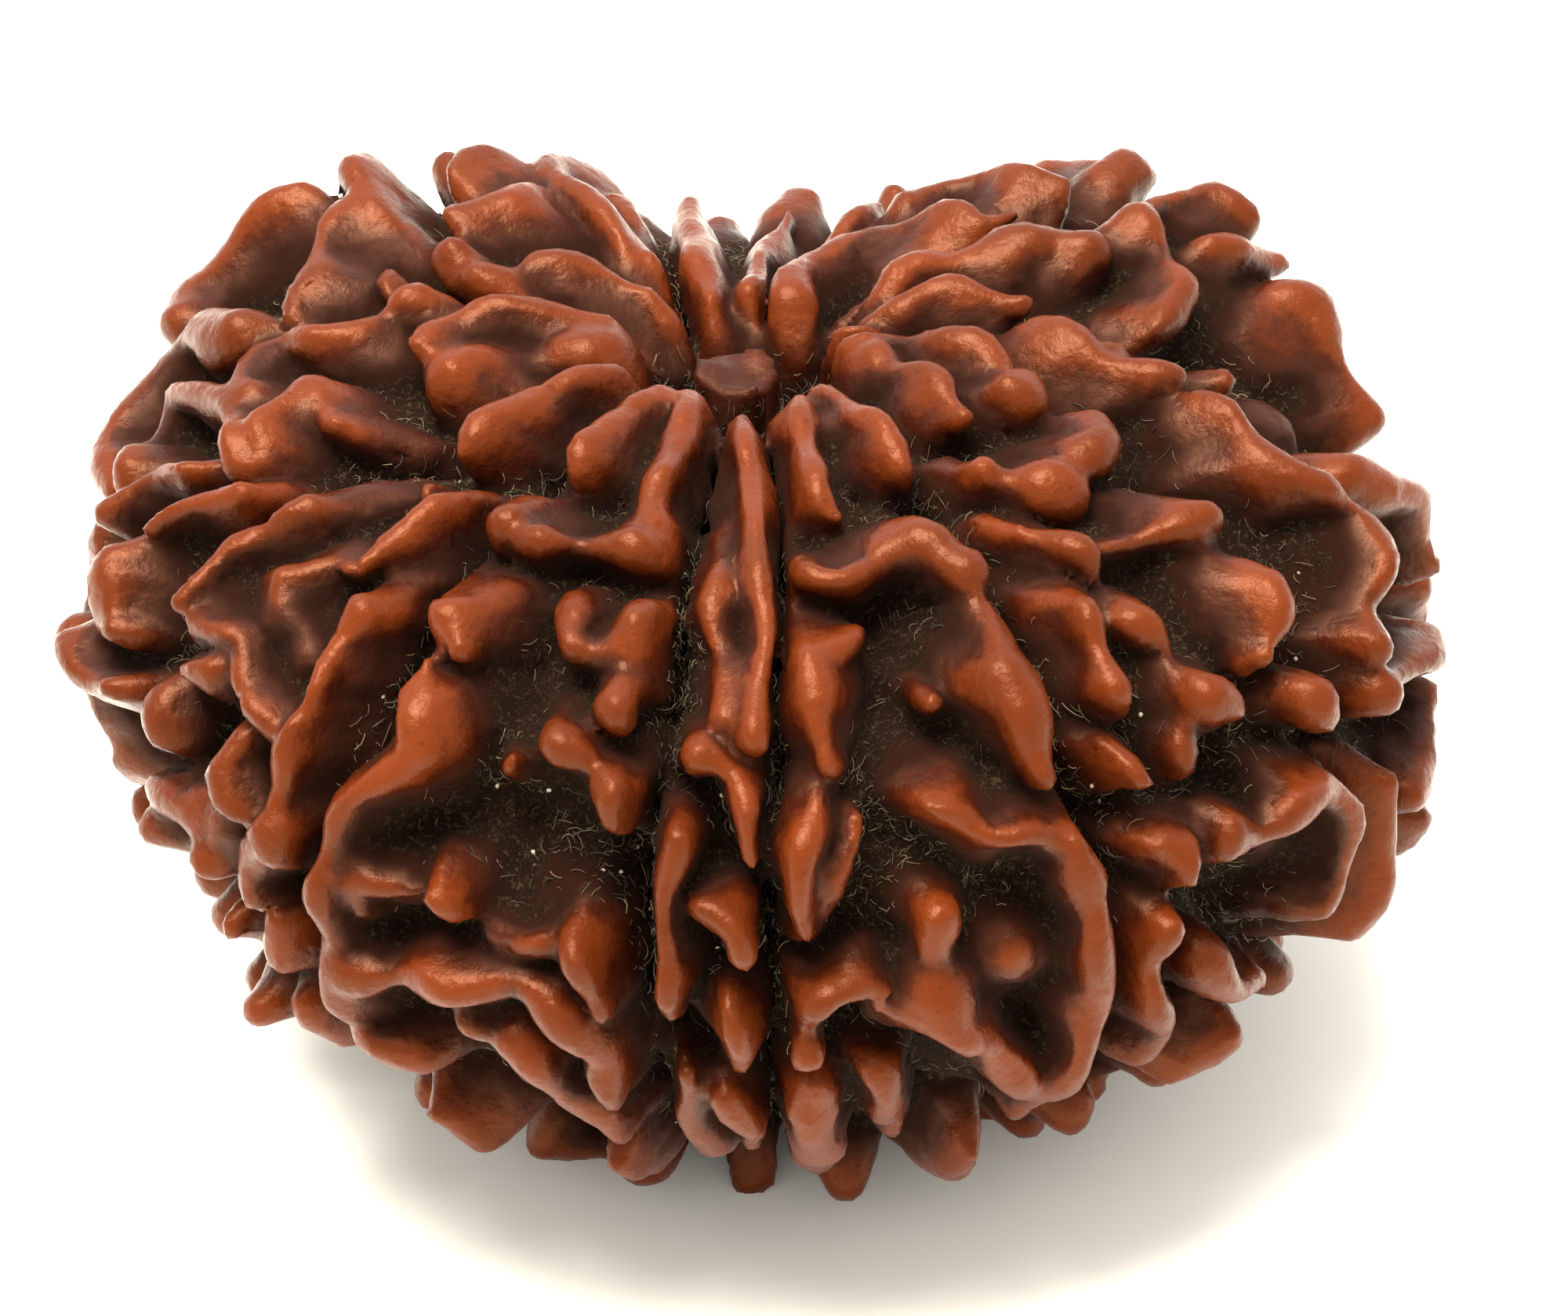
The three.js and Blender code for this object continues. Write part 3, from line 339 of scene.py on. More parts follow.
FIRST_LEFT_LOBE = [
    ridge(0.6, 0.1, (-55, 77), (-43, 71), (-38.5, 65), (-36, 59.5), (-34.5, 54.5), (-33.5, 50.5)),
    ridge(0.6, 0, (-35, 75), (-22, 68), (-18, 61), (-16.5, 55), (-16.5, 50), (-15.5, 46.5)),
    ridge(0.6, 0.05, (-35, 41.5), (-31.5, 41)),
    ridge(0.42, 0, (-31, 41), (-26, 42), (-21, 42.5), (-16, 43)),
    ridge(0.6, 0.1, (-16, 43), (-12.8, 41.8)),
    ridge(0.6, 0.1, (-12, 34.5), (-12.2, 31), (-12.8, 27.5)),
    ridge(0.45, -0.1, (-14, 32), (-17, 31.5), (-19.5, 32.5), (-20.5, 34.5)),
    ridge(0.45, 0, (-17, 23.5), (-14, 22.7), (-12, 20.8), (-11.3, 18.5)),
    ridge(0.32, -0.6, (-22, 21)),
    ridge(0.85, 0.15, (-34, 32), (-32, 31), (-30, 29.5)),
    ridge(0.35, -0.1, (-33, 28), (-32, 24.5)),
    ridge(0.75, 0.1, (-31, 24), (-30, 21.5)),
    ridge(0.45, 0.05, (-31, 19.5), (-33.5, 17), (-35.5, 14), (-36.3, 10), (-36.8, 6.5), (-36, 3),
      (-36.5, 0), (-36, -4), (-35.5, -8)),
    ridge(0.6, -0.1, (-34.5, 9), (-33.5, 5.5)),
    ridge(0.74, 0.1, (-26.5, 10), (-25, 8.6)),
    ridge(0.35, -0.3, (-33, 8.5), (-29, 9)),
    ridge(0.55, 0, (-35, -0.5), (-31, 0.5), (-27, 1.5), (-23, 2), (-19, 3), (-15.8, 1),
      (-13.2, -2.5), (-12.3, -6.5), (-12.3, -9)),
    ridge(0.95, -0.3, (-22, 6), (-17, 7)),
    ridge(0.4, 0.2, (-14.8, 8.5), (-14, 6.8), (-12.8, 4), (-12.3, 2)),
    ridge(0.6, 0, (-20, -4), (-18, -7), (-16, -11), (-13, -17)),
    ridge(0.65, 0, (-35, -9), (-31, -9.5)),
    ridge(0.4, -0.3, (-25, -3), (-21, -4)),
    ridge(0.9, 0.4, (-34, -22), (-30, -26)),
    ridge(0.7, 0.3, (-14, -22), (-13, -32)),
]

# The worn knob at the lower pole that the bead rests on
FOOT = ridge(1.6, -0.1, (0, -90))

DRAWN_RIDGES = [
    *FRONT_LOBE,
    *FIRST_RIGHT_LOBE,
    *SECOND_RIGHT_LOBE,
    *THIRD_RIGHT_LOBE,
    *FOURTH_RIGHT_LOBE,
    *BACK_LOBE,
    *FOURTH_LEFT_LOBE,
    *THIRD_LEFT_LOBE,
    *SECOND_LEFT_LOBE,
    *FIRST_LEFT_LOBE,
    FOOT,
]

# Where the bead turns out of sight the relief goes on by a rule: knobs about this far apart, rows of them
# down each lobe, and ridges that join some neighbours. It holds below a latitude that is edge_swing degrees
# under edge_middle at the front, and as far over it at the back.
RULE = {
    "row_step": 11.5,
    "first_row": 38,
    "gap": 1.0,
    "last_row": -74,
    "knob_spacing": 2.45,
    "half_size": 0.62,
    "half_variation": 0.13,
    "rise": 0,
    "rise_variation": 0.2,
    "sideways": 0.16,
    "up_and_down": 3,
    "edge_middle": 5,
    "edge_swing": 30,
    "knob_extra": 0.12,
    "down_links": 0.62,
    "side_links": 0.38,
    "link_thickness": 0.86,
    "link_drop": 0.1,
    "link_bend": 1.5,
    "seed": 20117,
}

# How the ridges are finished: steps between two places of a run, the share of a ridge's thickness that its
# top has and how much that wanders, how much its rise wanders in mm, both with their waves for each step, how
# far its flanks lean out for each mm down, and how many steps long its ends are. A share of the first and of
# the last ends are knobs with a neck so many ends behind them, and the others run out in points.
RUN_STEPS = 3
FINISH = {
    "top": 0.65,
    "top_wander": 0.12,
    "top_waves": 1.3,
    "rise_wander": 0.14,
    "rise_waves": 0.8,
    "flare": 0.29,
    "flare_variation": 0.14,
    "end": 1.7,
    "neck_at": 2,
    "first_knobs": 0.55,
    "last_knobs": 0.3,
    "knob": 0.2,
    "neck": 0.24,
    "point": 0.5,
    "point_drop": 0.16,
    "seed": 7411,
}

# A slow wander of the whole relief, so that no edge runs straight: size in mm, waves for each mm and shifts
WANDER = 0.13
WANDER_WAVES = ((1.9, 1.3, 2.3), (2.6, 1.7, 1.1), (1.5, 2.9, 1.9))
WANDER_SHIFTS = (1, 2)

# How far round a ridge and a furrow distances are worked out, how far down a ridge's walls go, how much
# lower than a furrow's own middle the surface round it may be, and a distance that stands for nowhere near
RIDGE_REACH = 1.6
FURROW_REACH = 1.8
FLOOR_REACH = 3.2
FURROW_SLACK = 2
FAR = 9.0

# The degrees between two readings of the mean surface, and the room that the grid leaves round the bead, in
# mm at the sides and over it and in cells under it
TABLE_STEP = 0.3
SIDE_ROOM = 2
HEAD_ROOM = 3
CELLS_UNDER = 4

# The seeded row of numbers
MULTIPLIER = 16807
PRIME = 2147483647

# Fibres and crumbs cling fully where CLING less CLING_FALL times the height on the relief is 1 or more, and
# not at all where it is 0. They lie in patches, given by waves for each mm, and none lies less than
# CLEAN_BELOW over the floor.
CLING = 1.6
CLING_FALL = 3.2
CLEAN_BELOW = 0.5
PATCHES = {
    "x": 0.8,
    "y": 0.7,
    "z": 1.7,
    "shift": 1.9,
    "second": 0.5,
    "middle": 0.6,
    "swing": 0.7,
    "least": 0.12,
}

# The small bumps: lumps for each mm, how fast the finer sets fade, how much finer each is, how many sets, the
# height on the relief at which they would end, and the least share of them that is left
BUMPS = {"lumps": 1.7, "fading": 0.8, "finer": 2.1, "sets": 3, "ends_at": 1.2, "least": 0.12}

# How often a point is averaged with its neighbours to tell how convex the bead is there, which the colour
# reads, worn lighter where convex and with painted shade in concave creases; the distance in mm that counts
# as fully convex; the greatest height on the relief; and the share of its height that the pit's surface
# keeps, which darkens the stalk's stub to its own duller brown and paints shade into the hollow round it
CONVEX_ROUNDS = 24
FULLY_CONVEX = 0.25
GREATEST_HEIGHT = 1.4
PIT_SHADE = 0.35


def direction(lon, lat):
    """Unit directions of longitudes and latitudes in degrees."""
    lon, lat = np.radians(lon), np.radians(lat)
    across = np.cos(lat)
    return np.stack([across * np.sin(lon), -across * np.cos(lon), np.sin(lat)], axis=-1)


def mean_radius(towards):
    """Distance from the bead's centre to the mean surface over the ridge tops, for unit directions."""
    x, y, z = np.moveaxis(towards, -1, 0)
    upper = z > 0
    power = np.where(upper, UPPER_SQUARENESS, LOWER_SQUARENESS)
    half_height = np.where(upper, UPPER_HALF_HEIGHT, LOWER_HALF_HEIGHT)
    across = np.hypot(x / HALF_WIDTH, y / HALF_DEPTH)
    radius = (across**power + np.abs(z / half_height) ** power) ** (-1 / power)
    lat = np.degrees(np.arcsin(np.clip(z, -1, 1)))
    radius -= UPPER_HOLLOW["depth"] * np.exp(-(((90 - lat) / UPPER_HOLLOW["spread"]) ** 2))
    radius -= LOWER_HOLLOW["depth"] * np.exp(-(((90 + lat) / LOWER_HOLLOW["spread"]) ** 2))
    for swell_lon, swell_lat, height, spread in SWELLS:
        angle = np.degrees(np.arccos(np.clip(towards @ direction(swell_lon, swell_lat), -1, 1)))
        radius += height * np.exp(-((angle / spread) ** 2))
    return radius


def on_bead(lon, lat, rise=0.0):
    """Points over longitudes and latitudes, so far outside the mean surface."""
    towards = direction(lon, lat)
    return towards * (mean_radius(towards) + rise)[..., None]


def furrow_longitude(furrow, lat):
    """Longitude of a furrow at a latitude."""
    lons, lats = zip(*furrow)
    return float(np.interp(-lat, [-v for v in lats], lons))


def numbers(seed):
    """A repeatable row of numbers from 0 to 1."""
    state = seed
    while True:
        state = state * MULTIPLIER % PRIME
        yield state / PRIME


def whole(value):
    """The nearest whole number."""
    return math.floor(value + 0.5)


def ends_of(run, rise=0.0):
    """The two ends of each straight piece of a run, as two arrays of points."""
    points = on_bead(*np.array(run, float).T, rise)
    if len(points) == 1:
        return points, points
    return points[:-1], points[1:]


def nearest_distance(point, starts, ends):
    """Distance from one point to each straight piece."""
    along = ends - starts
    length2 = np.maximum((along**2).sum(1), TINY)
    share = np.clip(((point - starts) * along).sum(1) / length2, 0, 1)
    return np.linalg.norm(starts + along * share[:, None] - point, axis=1)


def ruled_ridges():
    """Knobs in rows down every lobe below the drawn ridges, with ridges between some of them."""
    draw = numbers(RULE["seed"])
    drawn = [(*ends_of(r["run"]), r["half"]) for r in DRAWN_RIDGES]
    starts = np.concatenate([d[0] for d in drawn])
    ends = np.concatenate([d[1] for d in drawn])
    halves = np.concatenate([np.full(len(d[0]), d[2]) for d in drawn])

    def vary(middle, variation):
        return middle + variation * (next(draw) - 0.5) * 2

    def free(lon, lat):
        gaps = nearest_distance(on_bead(lon, lat), starts, ends) - halves
        return bool((gaps > RULE["gap"]).all())

    made = []
    for lobe, left in enumerate(FURROWS):
        right = FURROWS[(lobe + 1) % len(FURROWS)]
        turn = 360 if lobe == len(FURROWS) - 1 else 0
        above = []
        row = RULE["first_row"]
        while row > RULE["last_row"]:
            first = furrow_longitude(left, row)
            span = furrow_longitude(right, row) + turn - first
            middle = direction(first + span / 2, row)
            width = math.radians(span) * float(mean_radius(middle)) * math.cos(math.radians(row))
            count = max(1, whole(width / RULE["knob_spacing"]))
            knobs = []
            for i in range(count):
                lon = first + span * (i + vary(0.5, RULE["sideways"])) / count
                lat = vary(row, RULE["up_and_down"])
                half = vary(RULE["half_size"], RULE["half_variation"])
                rise = vary(RULE["rise"], RULE["rise_variation"])
                rule_below = RULE["edge_middle"] - RULE["edge_swing"] * math.cos(math.radians(lon))
                shown = lat < rule_below and free(lon, lat)
                knobs.append({"place": (lon, lat), "shown": shown, "half": half, "rise": rise})
                if shown:
                    made.append(ridge(half + RULE["knob_extra"], rise, (lon, lat)))
            for i, knob in enumerate(knobs):
                links = []
                if next(draw) < RULE["side_links"]:
                    links += knobs[i + 1 : i + 2]
                if next(draw) < RULE["down_links"]:
                    over = whole(i * len(above) / count)
                    links += above[over : over + 1]
                for other in links:
                    if not knob["shown"] or not other["shown"]:
                        continue
                    middles = [(a + b) / 2 for a, b in zip(knob["place"], other["place"])]
                    bend = tuple(vary(middle, RULE["link_bend"]) for middle in middles)
                    half = knob["half"] * RULE["link_thickness"]
                    rise = knob["rise"] - RULE["link_drop"]
                    made.append(ridge(half, rise, other["place"], bend, knob["place"]))
            above = knobs
            row -= RULE["row_step"]
    return made


def smooth_run(run):
    """A run as a smooth curve through its places, in RUN_STEPS steps between two of them."""
    places = np.array(run, float)
    if len(places) < 2:
        return places
    padded = np.concatenate([[2 * places[0] - places[1]], places, [2 * places[-1] - places[-2]]])
    steps = np.arange(RUN_STEPS)[:, None] / RUN_STEPS
    curve = []
    for a, b, c, d in zip(padded, padded[1:], padded[2:], padded[3:]):
        bend = 2 * a - 5 * b + 4 * c - d
        twist = 3 * b - a - 3 * c + d
        curve.append(0.5 * (2 * b + (c - a) * steps + bend * steps**2 + twist * steps**3))
    return np.concatenate([*curve, places[-1:]])


def finished(item, chance):
    """A ridge's smooth curve, its half thickness and rise along it, and how far its flanks lean out."""
    curve = smooth_run(item["run"])
    steps = np.arange(len(curve))
    phase = 2 * math.pi * next(chance)
    flare = FINISH["flare"] + FINISH["flare_variation"] * (2 * next(chance) - 1)
    top = FINISH["top"] + FINISH["top_wander"] * np.sin(phase + FINISH["top_waves"] * steps)
    halves = item["half"] * top
    rise = item["rise"] + FINISH["rise_wander"] * np.sin(2 * phase + FINISH["rise_waves"] * steps)
    if len(curve) == 1:
        return curve, halves, rise, flare
    for from_end, knobs in ((steps, FINISH["first_knobs"]), (steps[::-1], FINISH["last_knobs"])):
        near = np.exp(-((from_end / FINISH["end"]) ** 2))
        if next(chance) < knobs:
            neck = np.exp(-((from_end / FINISH["end"] - FINISH["neck_at"]) ** 2))
            halves = halves * (1 + FINISH["knob"] * near - FINISH["neck"] * neck)
            rise = rise - FINISH["point_drop"] * neck
        else:
            halves = halves * (1 - FINISH["point"] * near)
            rise = rise - FINISH["point_drop"] * near
    return curve, halves, rise, flare


def blended(a, b, roundness):
    """The smaller of two distances, with their meeting rounded."""
    share = np.maximum(roundness - np.abs(a - b), 0) / roundness
    return np.minimum(a, b) - share * share * (roundness * 0.25)


class Relief:
    """The bead's mean surface and valley floor, read once for all directions and looked up after that."""

    def __init__(self):
        lon = np.arange(-180, 180 + TABLE_STEP / 2, TABLE_STEP)
        lat = np.arange(-90, 90 + TABLE_STEP / 2, TABLE_STEP)
        towards = direction(*np.meshgrid(lon, lat, indexing="ij"))
        self.mean = mean_radius(towards)
        tops = towards * self.mean[..., None]
        self.furrow = np.full(self.mean.shape, FAR)
        for furrow in FURROWS:
            for start, end in zip(*ends_of(furrow)):
                self.lower_furrow(towards, tops, start, end)
        x, y, z = np.moveaxis(tops, -1, 0)
        pit = PIT["depth"] * np.exp(-((np.hypot(x, y) / PIT["radius"]) ** PIT["steepness"]))
        pit[z < 0] = 0
        cut = FURROW_DEPTH * np.exp(-((self.furrow / FURROW_HALF_WIDTH) ** 2))
        wave = FLOOR_SWELL
        swell = np.sin(wave["x"] * x + wave["z"] * z) * np.cos(wave["y"] * y - wave["shift"])
        swell += wave["finer"] * np.sin(wave["finer_y"] * y + x) * np.sin(wave["finer_z"] * z)
        webs = np.zeros(self.mean.shape)
        for web_lon, web_lat, height, spread in WEBS:
            angle = np.degrees(np.arccos(np.clip(towards @ direction(web_lon, web_lat), -1, 1)))
            webs = np.maximum(webs, height * np.exp(-((angle / spread) ** 2)))
        webs *= 1 - cut / FURROW_DEPTH
        floor = self.mean - VALLEY_DEPTH - pit - cut + wave["height"] * swell + webs
        self.tables = np.stack([self.mean, floor, self.furrow], axis=-1).astype(np.float32)

    def lower_furrow(self, towards, tops, start, end):
        """Takes in one straight piece of a furrow."""
        middle = (start + end) / 2
        far = np.linalg.norm(middle)
        spread = np.linalg.norm(end - start) / 2 + FURROW_REACH
        near = towards @ (middle / far) > math.cos(math.atan(spread / (far - FURROW_SLACK)))
        points = tops[near]
        along = end - start
        share = np.clip((points - start) @ along / (along @ along), 0, 1)
        distance = np.linalg.norm(points - start - share[:, None] * along, axis=1)
        self.furrow[near] = np.minimum(self.furrow[near], distance)

    def look_up(self, points):
        """The mean surface, the valley floor and the distance to a furrow, in the directions of points."""
        table = self.tables
        radius = np.maximum(np.linalg.norm(points, axis=-1), TINY)
        lon = np.degrees(np.arctan2(points[..., 0], -points[..., 1]))
        lat = np.degrees(np.arcsin(np.clip(points[..., 2] / radius, -1, 1)))
        i, j = (lon + 180) / TABLE_STEP, (lat + 90) / TABLE_STEP
        left = np.clip(i.astype(np.int32), 0, table.shape[0] - 2)
        low = np.clip(j.astype(np.int32), 0, table.shape[1] - 2)
        across = (i - left)[..., None].astype(np.float32)
        up = (j - low)[..., None].astype(np.float32)
        lower = table[left, low] * (1 - across) + table[left + 1, low] * across
        upper = table[left, low + 1] * (1 - across) + table[left + 1, low + 1] * across
        return np.moveaxis(lower * (1 - up) + upper * up, -1, 0)


class Field:
    """Distances to the bead's surface on an even grid of points round it."""

    def __init__(self, cell):
        self.cell = cell
        half_width, half_depth = HALF_WIDTH + SIDE_ROOM, HALF_DEPTH + SIDE_ROOM
        self.low = np.array([-half_width, -half_depth, -REST_HEIGHT - CELLS_UNDER * cell])
        high = np.array([half_width, half_depth, UPPER_HALF_HEIGHT + HEAD_ROOM])
        self.count = np.ceil((high - self.low) / cell).astype(int)
        axes = [self.low[a] + cell * np.arange(self.count[a]) for a in range(3)]
        self.points = np.stack(np.meshgrid(*axes, indexing="ij"), axis=-1).astype(np.float32)
        self.wall = np.full(self.count, FAR, np.float32)
        x, y, z = np.moveaxis(self.points, -1, 0)
        first, second = WANDER_SHIFTS
        moves = [np.sin(a * x + first) * np.cos(b * y) * np.sin(c * z + second) for a, b, c in WANDER_WAVES]
        self.wandered = self.points + WANDER * np.stack(moves, axis=-1).astype(np.float32)

    def add_ridge(self, curve, halves, rise, flare):
        """Raises one ridge along a curve on the bead: round on top, with walls down to the floor."""
        spine = on_bead(*curve.T, rise - halves)
        inner = spine * (1 - FLOOR_REACH / np.linalg.norm(spine, axis=1))[:, None]
        reach = halves.max() + RIDGE_REACH
        low = np.minimum(spine.min(0) - reach, inner.min(0) - halves.max())
        high = np.maximum(spine.max(0) + reach, inner.max(0) + halves.max())
        first = np.clip(np.floor((low - self.low) / self.cell).astype(int), 0, self.count)
        last = np.clip(np.ceil((high - self.low) / self.cell).astype(int) + 1, 0, self.count)
        window = tuple(slice(a, b) for a, b in zip(first, last))
        points = self.wandered[window]
        spine = spine.astype(np.float32)
        if len(spine) == 1:
            spine, halves = np.repeat(spine, 2, axis=0), np.repeat(halves, 2)
        nearest = np.full(points.shape[:-1], FAR, np.float32)
        for start, end, half, next_half in zip(spine, spine[1:], halves, halves[1:]):
            along = end - start
            share = np.clip((points - start) @ along / max(along @ along, TINY), 0, 1)
            foot = start + share[..., None] * along
            offset = points - foot
            height = (offset * foot).sum(-1) / np.sqrt((foot * foot).sum(-1))
            full = (offset * offset).sum(-1)
            aside = np.sqrt(np.maximum(full - height * height, 0))
            thick = half + (next_half - half) * share
            wall = aside - thick - flare * np.minimum(-height, VALLEY_DEPTH)
            nearest = np.minimum(nearest, np.where(height >= 0, np.sqrt(full) - thick, wall))
        self.wall[window] = blended(self.wall[window], nearest, RIDGE_BLEND)

    def solid(self, relief, valley_blend):
        """Distances to the whole bead: valley floor, ridges, stalk and the flat that it rests on."""
        radius = np.linalg.norm(self.points, axis=-1)
        mean, floor, _ = relief.look_up(self.points)
        furrow = relief.look_up(self.wandered)[2]
        x, y, z = np.moveaxis(self.points, -1, 0)
        clear = np.where(z > 0, PIT["radius"] - np.hypot(x - PIT["x"], y - PIT["y"]), -FAR)
        wall = -blended(-self.wall, -clear, PIT["rim"])
        solid = blended(radius - floor, wall, valley_blend)
        cleft = np.minimum(CLEFT_HALF_WIDTH - furrow, radius - mean + VALLEY_DEPTH + FURROW_DEPTH)
        solid = -blended(-solid, -cleft, CLEFT_ROUNDING)
        a, b = STALK["side_waves"]
        side = np.hypot(x - STALK["x"], y - STALK["y"]) - STALK["radius"]
        side = side + STALK["side_rough"] * np.sin(a * x + b * y)
        a, b = STALK["top_waves"]
        top = z - STALK["top"] + STALK["top_rough"] * np.sin(a * x + STALK["shift"]) * np.cos(b * y)
        stalk = np.where(z > 0, np.maximum(side, top), FAR)
        solid = blended(solid, stalk, STALK["blend"])
        return np.maximum(solid, -REST_HEIGHT - z).astype(np.float32)


def surface_of(distances, low, cell):
    """The zero surface of a grid of distances, as points and four-sided faces that look outwards."""
    inside = distances < 0
    corner_count = sum(
        inside[i : inside.shape[0] - 1 + i, j : inside.shape[1] - 1 + j, k : inside.shape[2] - 1 + k]
        .astype(np.int8)
        for i in (0, 1)
        for j in (0, 1)
        for k in (0, 1)
    )
    cells = np.argwhere((corner_count > 0) & (corner_count < 8))
    total = np.zeros((len(cells), 3))
    crossings = np.zeros(len(cells))
    for axis in range(3):
        others = [a for a in range(3) if a != axis]
        for i in (0, 1):
            for j in (0, 1):
                near = cells.copy()
                near[:, others[0]] += i
                near[:, others[1]] += j
                far = near.copy()
                far[:, axis] += 1
                a, b = distances[tuple(near.T)], distances[tuple(far.T)]
                crossed = (a < 0) != (b < 0)
                place = near[crossed].astype(float)
                place[:, axis] += a[crossed] / (a[crossed] - b[crossed])
                total[crossed] += place
                crossings[crossed] += 1
    points = low + cell * total / crossings[:, None]
    index = np.full(corner_count.shape, -1, np.int32)
    index[tuple(cells.T)] = np.arange(len(cells))
    faces = []
    for axis in range(3):
        b, c = (axis + 1) % 3, (axis + 2) % 3
        before = np.moveaxis(inside, axis, 0)[:-1]
        after = np.moveaxis(inside, axis, 0)[1:]
        edges = np.argwhere(np.moveaxis(before != after, 0, axis))
        edges = edges[(edges[:, b] > 0) & (edges[:, c] > 0)]
        around = []
        for back, down in ((1, 1), (0, 1), (0, 0), (1, 0)):
            place = edges.copy()
            place[:, b] -= back
            place[:, c] -= down
            around.append(index[tuple(place.T)])
        quads = np.stack(around, axis=1)
        leaving = inside[tuple(edges.T)]
        faces.append(np.where(leaving[:, None], quads, quads[:, ::-1]))
    return points, np.concatenate(faces)


def largest_body(points, faces):
    """Drops everything but the biggest connected surface."""
    label = np.arange(len(points))
    sides = np.concatenate([faces[:, [0, 1]], faces[:, [1, 2]], faces[:, [2, 3]], faces[:, [3, 0]]])
    while True:
        lower = np.minimum(label[sides[:, 0]], label[sides[:, 1]])
        joined = label.copy()
        np.minimum.at(joined, label[sides[:, 0]], lower)
        np.minimum.at(joined, label[sides[:, 1]], lower)
        joined = joined[joined[label]]
        if (joined == label).all():
            break
        label = joined
    kept = label == np.bincount(label).argmax()
    number = np.cumsum(kept) - 1
    return points[kept], number[faces[kept[faces[:, 0]]]]


def mesh_from(name, points, faces):
    """A Blender mesh from arrays of points and faces."""
    mesh = bpy.data.meshes.new(name)
    mesh.from_pydata(points.tolist(), [], faces.tolist())
    mesh.update()
    return mesh


def object_from(name, mesh):
    """A new object at the origin that holds a mesh."""
    made = bpy.data.objects.new(name, mesh)
    bpy.context.scene.collection.objects.link(made)
    return made


def evaluated_mesh(thing):
    """The plain mesh that an object's modifiers give."""
    bpy.context.view_layer.update()
    graph = bpy.context.evaluated_depsgraph_get()
    return bpy.data.meshes.new_from_object(thing.evaluated_get(graph))


def thinned(thing, triangles):
    """Takes out the triangles that matter least until so many are left."""
    now = sum(len(face.vertices) - 2 for face in thing.data.polygons)
    modifier = thing.modifiers.new("Thin", "DECIMATE")
    modifier.ratio = min(1.0, triangles / now)
    modifier.use_collapse_triangulate = True
    mesh = evaluated_mesh(thing)
    thing.modifiers.remove(modifier)
    old = thing.data
    thing.data = mesh
    bpy.data.meshes.remove(old)


def points_of(mesh):
    """A mesh's points as an array."""
    flat = np.empty(len(mesh.vertices) * 3)
    mesh.vertices.foreach_get("co", flat)
    return flat.reshape(-1, 3)


def normals_of(mesh):
    """A mesh's vertex normals as an array."""
    flat = np.empty(len(mesh.vertices) * 3)
    mesh.vertex_normals.foreach_get("vector", flat)
    return flat.reshape(-1, 3)


def edge_ends(mesh):
    """The numbers of the two points of each edge."""
    flat = np.empty(len(mesh.edges) * 2, np.int32)
    mesh.edges.foreach_get("vertices", flat)
    return flat.reshape(-1, 2)


def averaged(values, sides, rounds):
    """Values at a mesh's points, each replaced so many times by the mean over its neighbours."""
    count = np.maximum(np.bincount(sides.ravel(), minlength=len(values)), 1)
    for _ in range(rounds):
        total = np.zeros_like(values)
        for column in range(values.shape[1]):
            for a, b in ((0, 1), (1, 0)):
                total[:, column] += np.bincount(sides[:, a], values[sides[:, b], column], len(values))
        values = total / count[:, None]
    return values


def set_attribute(mesh, name, values):
    """Stores a number for each point of a mesh, for materials and scattering to read."""
    attribute = mesh.attributes.new(name, "FLOAT", "POINT")
    attribute.data.foreach_set("value", values.astype(np.float32))


class BeadForm(PropertyGroup):
    """How finely the bead is made, and the roughness of its valleys."""

    cell: FloatProperty(
        name="Grid cell",
        description="Spacing of the grid that the surface is read on",
        default=0.16 * MM,
        unit="LENGTH",
    )
    triangles: IntProperty(
        name="Triangles",
        description="Triangles that are kept of the finished bead",
        default=194000,
    )
    valley_blend: FloatProperty(
        name="Valley rounding",
        description="How widely a ridge's foot runs out into the valley floor",
        default=0.55 * MM,
        unit="LENGTH",
    )
    floor_bumps: FloatProperty(
        name="Floor bumps",
        description="Height of the uneven bumps on the valley floor",
        default=0.12 * MM,
        unit="LENGTH",
    )


class BeadFinish(PropertyGroup):
    """Colours and gloss of the bead."""

    # Crest, shoulder, flank and valley run from high convex places down into the valleys. Their darkening is
    # partly the bead's own colour and partly painted shade
    crest: FloatVectorProperty(
        name="Crest",
        description="Colour of the worn ridge tops",
        default=(0.083, 0.0140, 0.0024),
        subtype="COLOR",
    )
    shoulder: FloatVectorProperty(
        name="Shoulder",
        description="Colour below the ridge tops",
        default=(0.027, 0.0045, 0.0015),
        subtype="COLOR",
    )
    flank: FloatVectorProperty(
        name="Flank",
        description="Colour of the ridges' sides",
        default=(0.0075, 0.0015, 0.0009),
        subtype="COLOR",
    )
    valley: FloatVectorProperty(
        name="Valley",
        description="Colour of the valley floor",
        default=(0.0018, 0.0010, 0.0007),
        subtype="COLOR",
    )
    fuzz: FloatVectorProperty(
        name="Fuzz",
        description="Colour of the fine dry fuzz that flecks the valley floor",
        default=(0.021, 0.0140, 0.0075),
        subtype="COLOR",
    )
    grain: FloatProperty(
        name="Grain",
        description="Size of the fine grain of the surface",
        default=0.22 * MM,
        unit="LENGTH",
    )


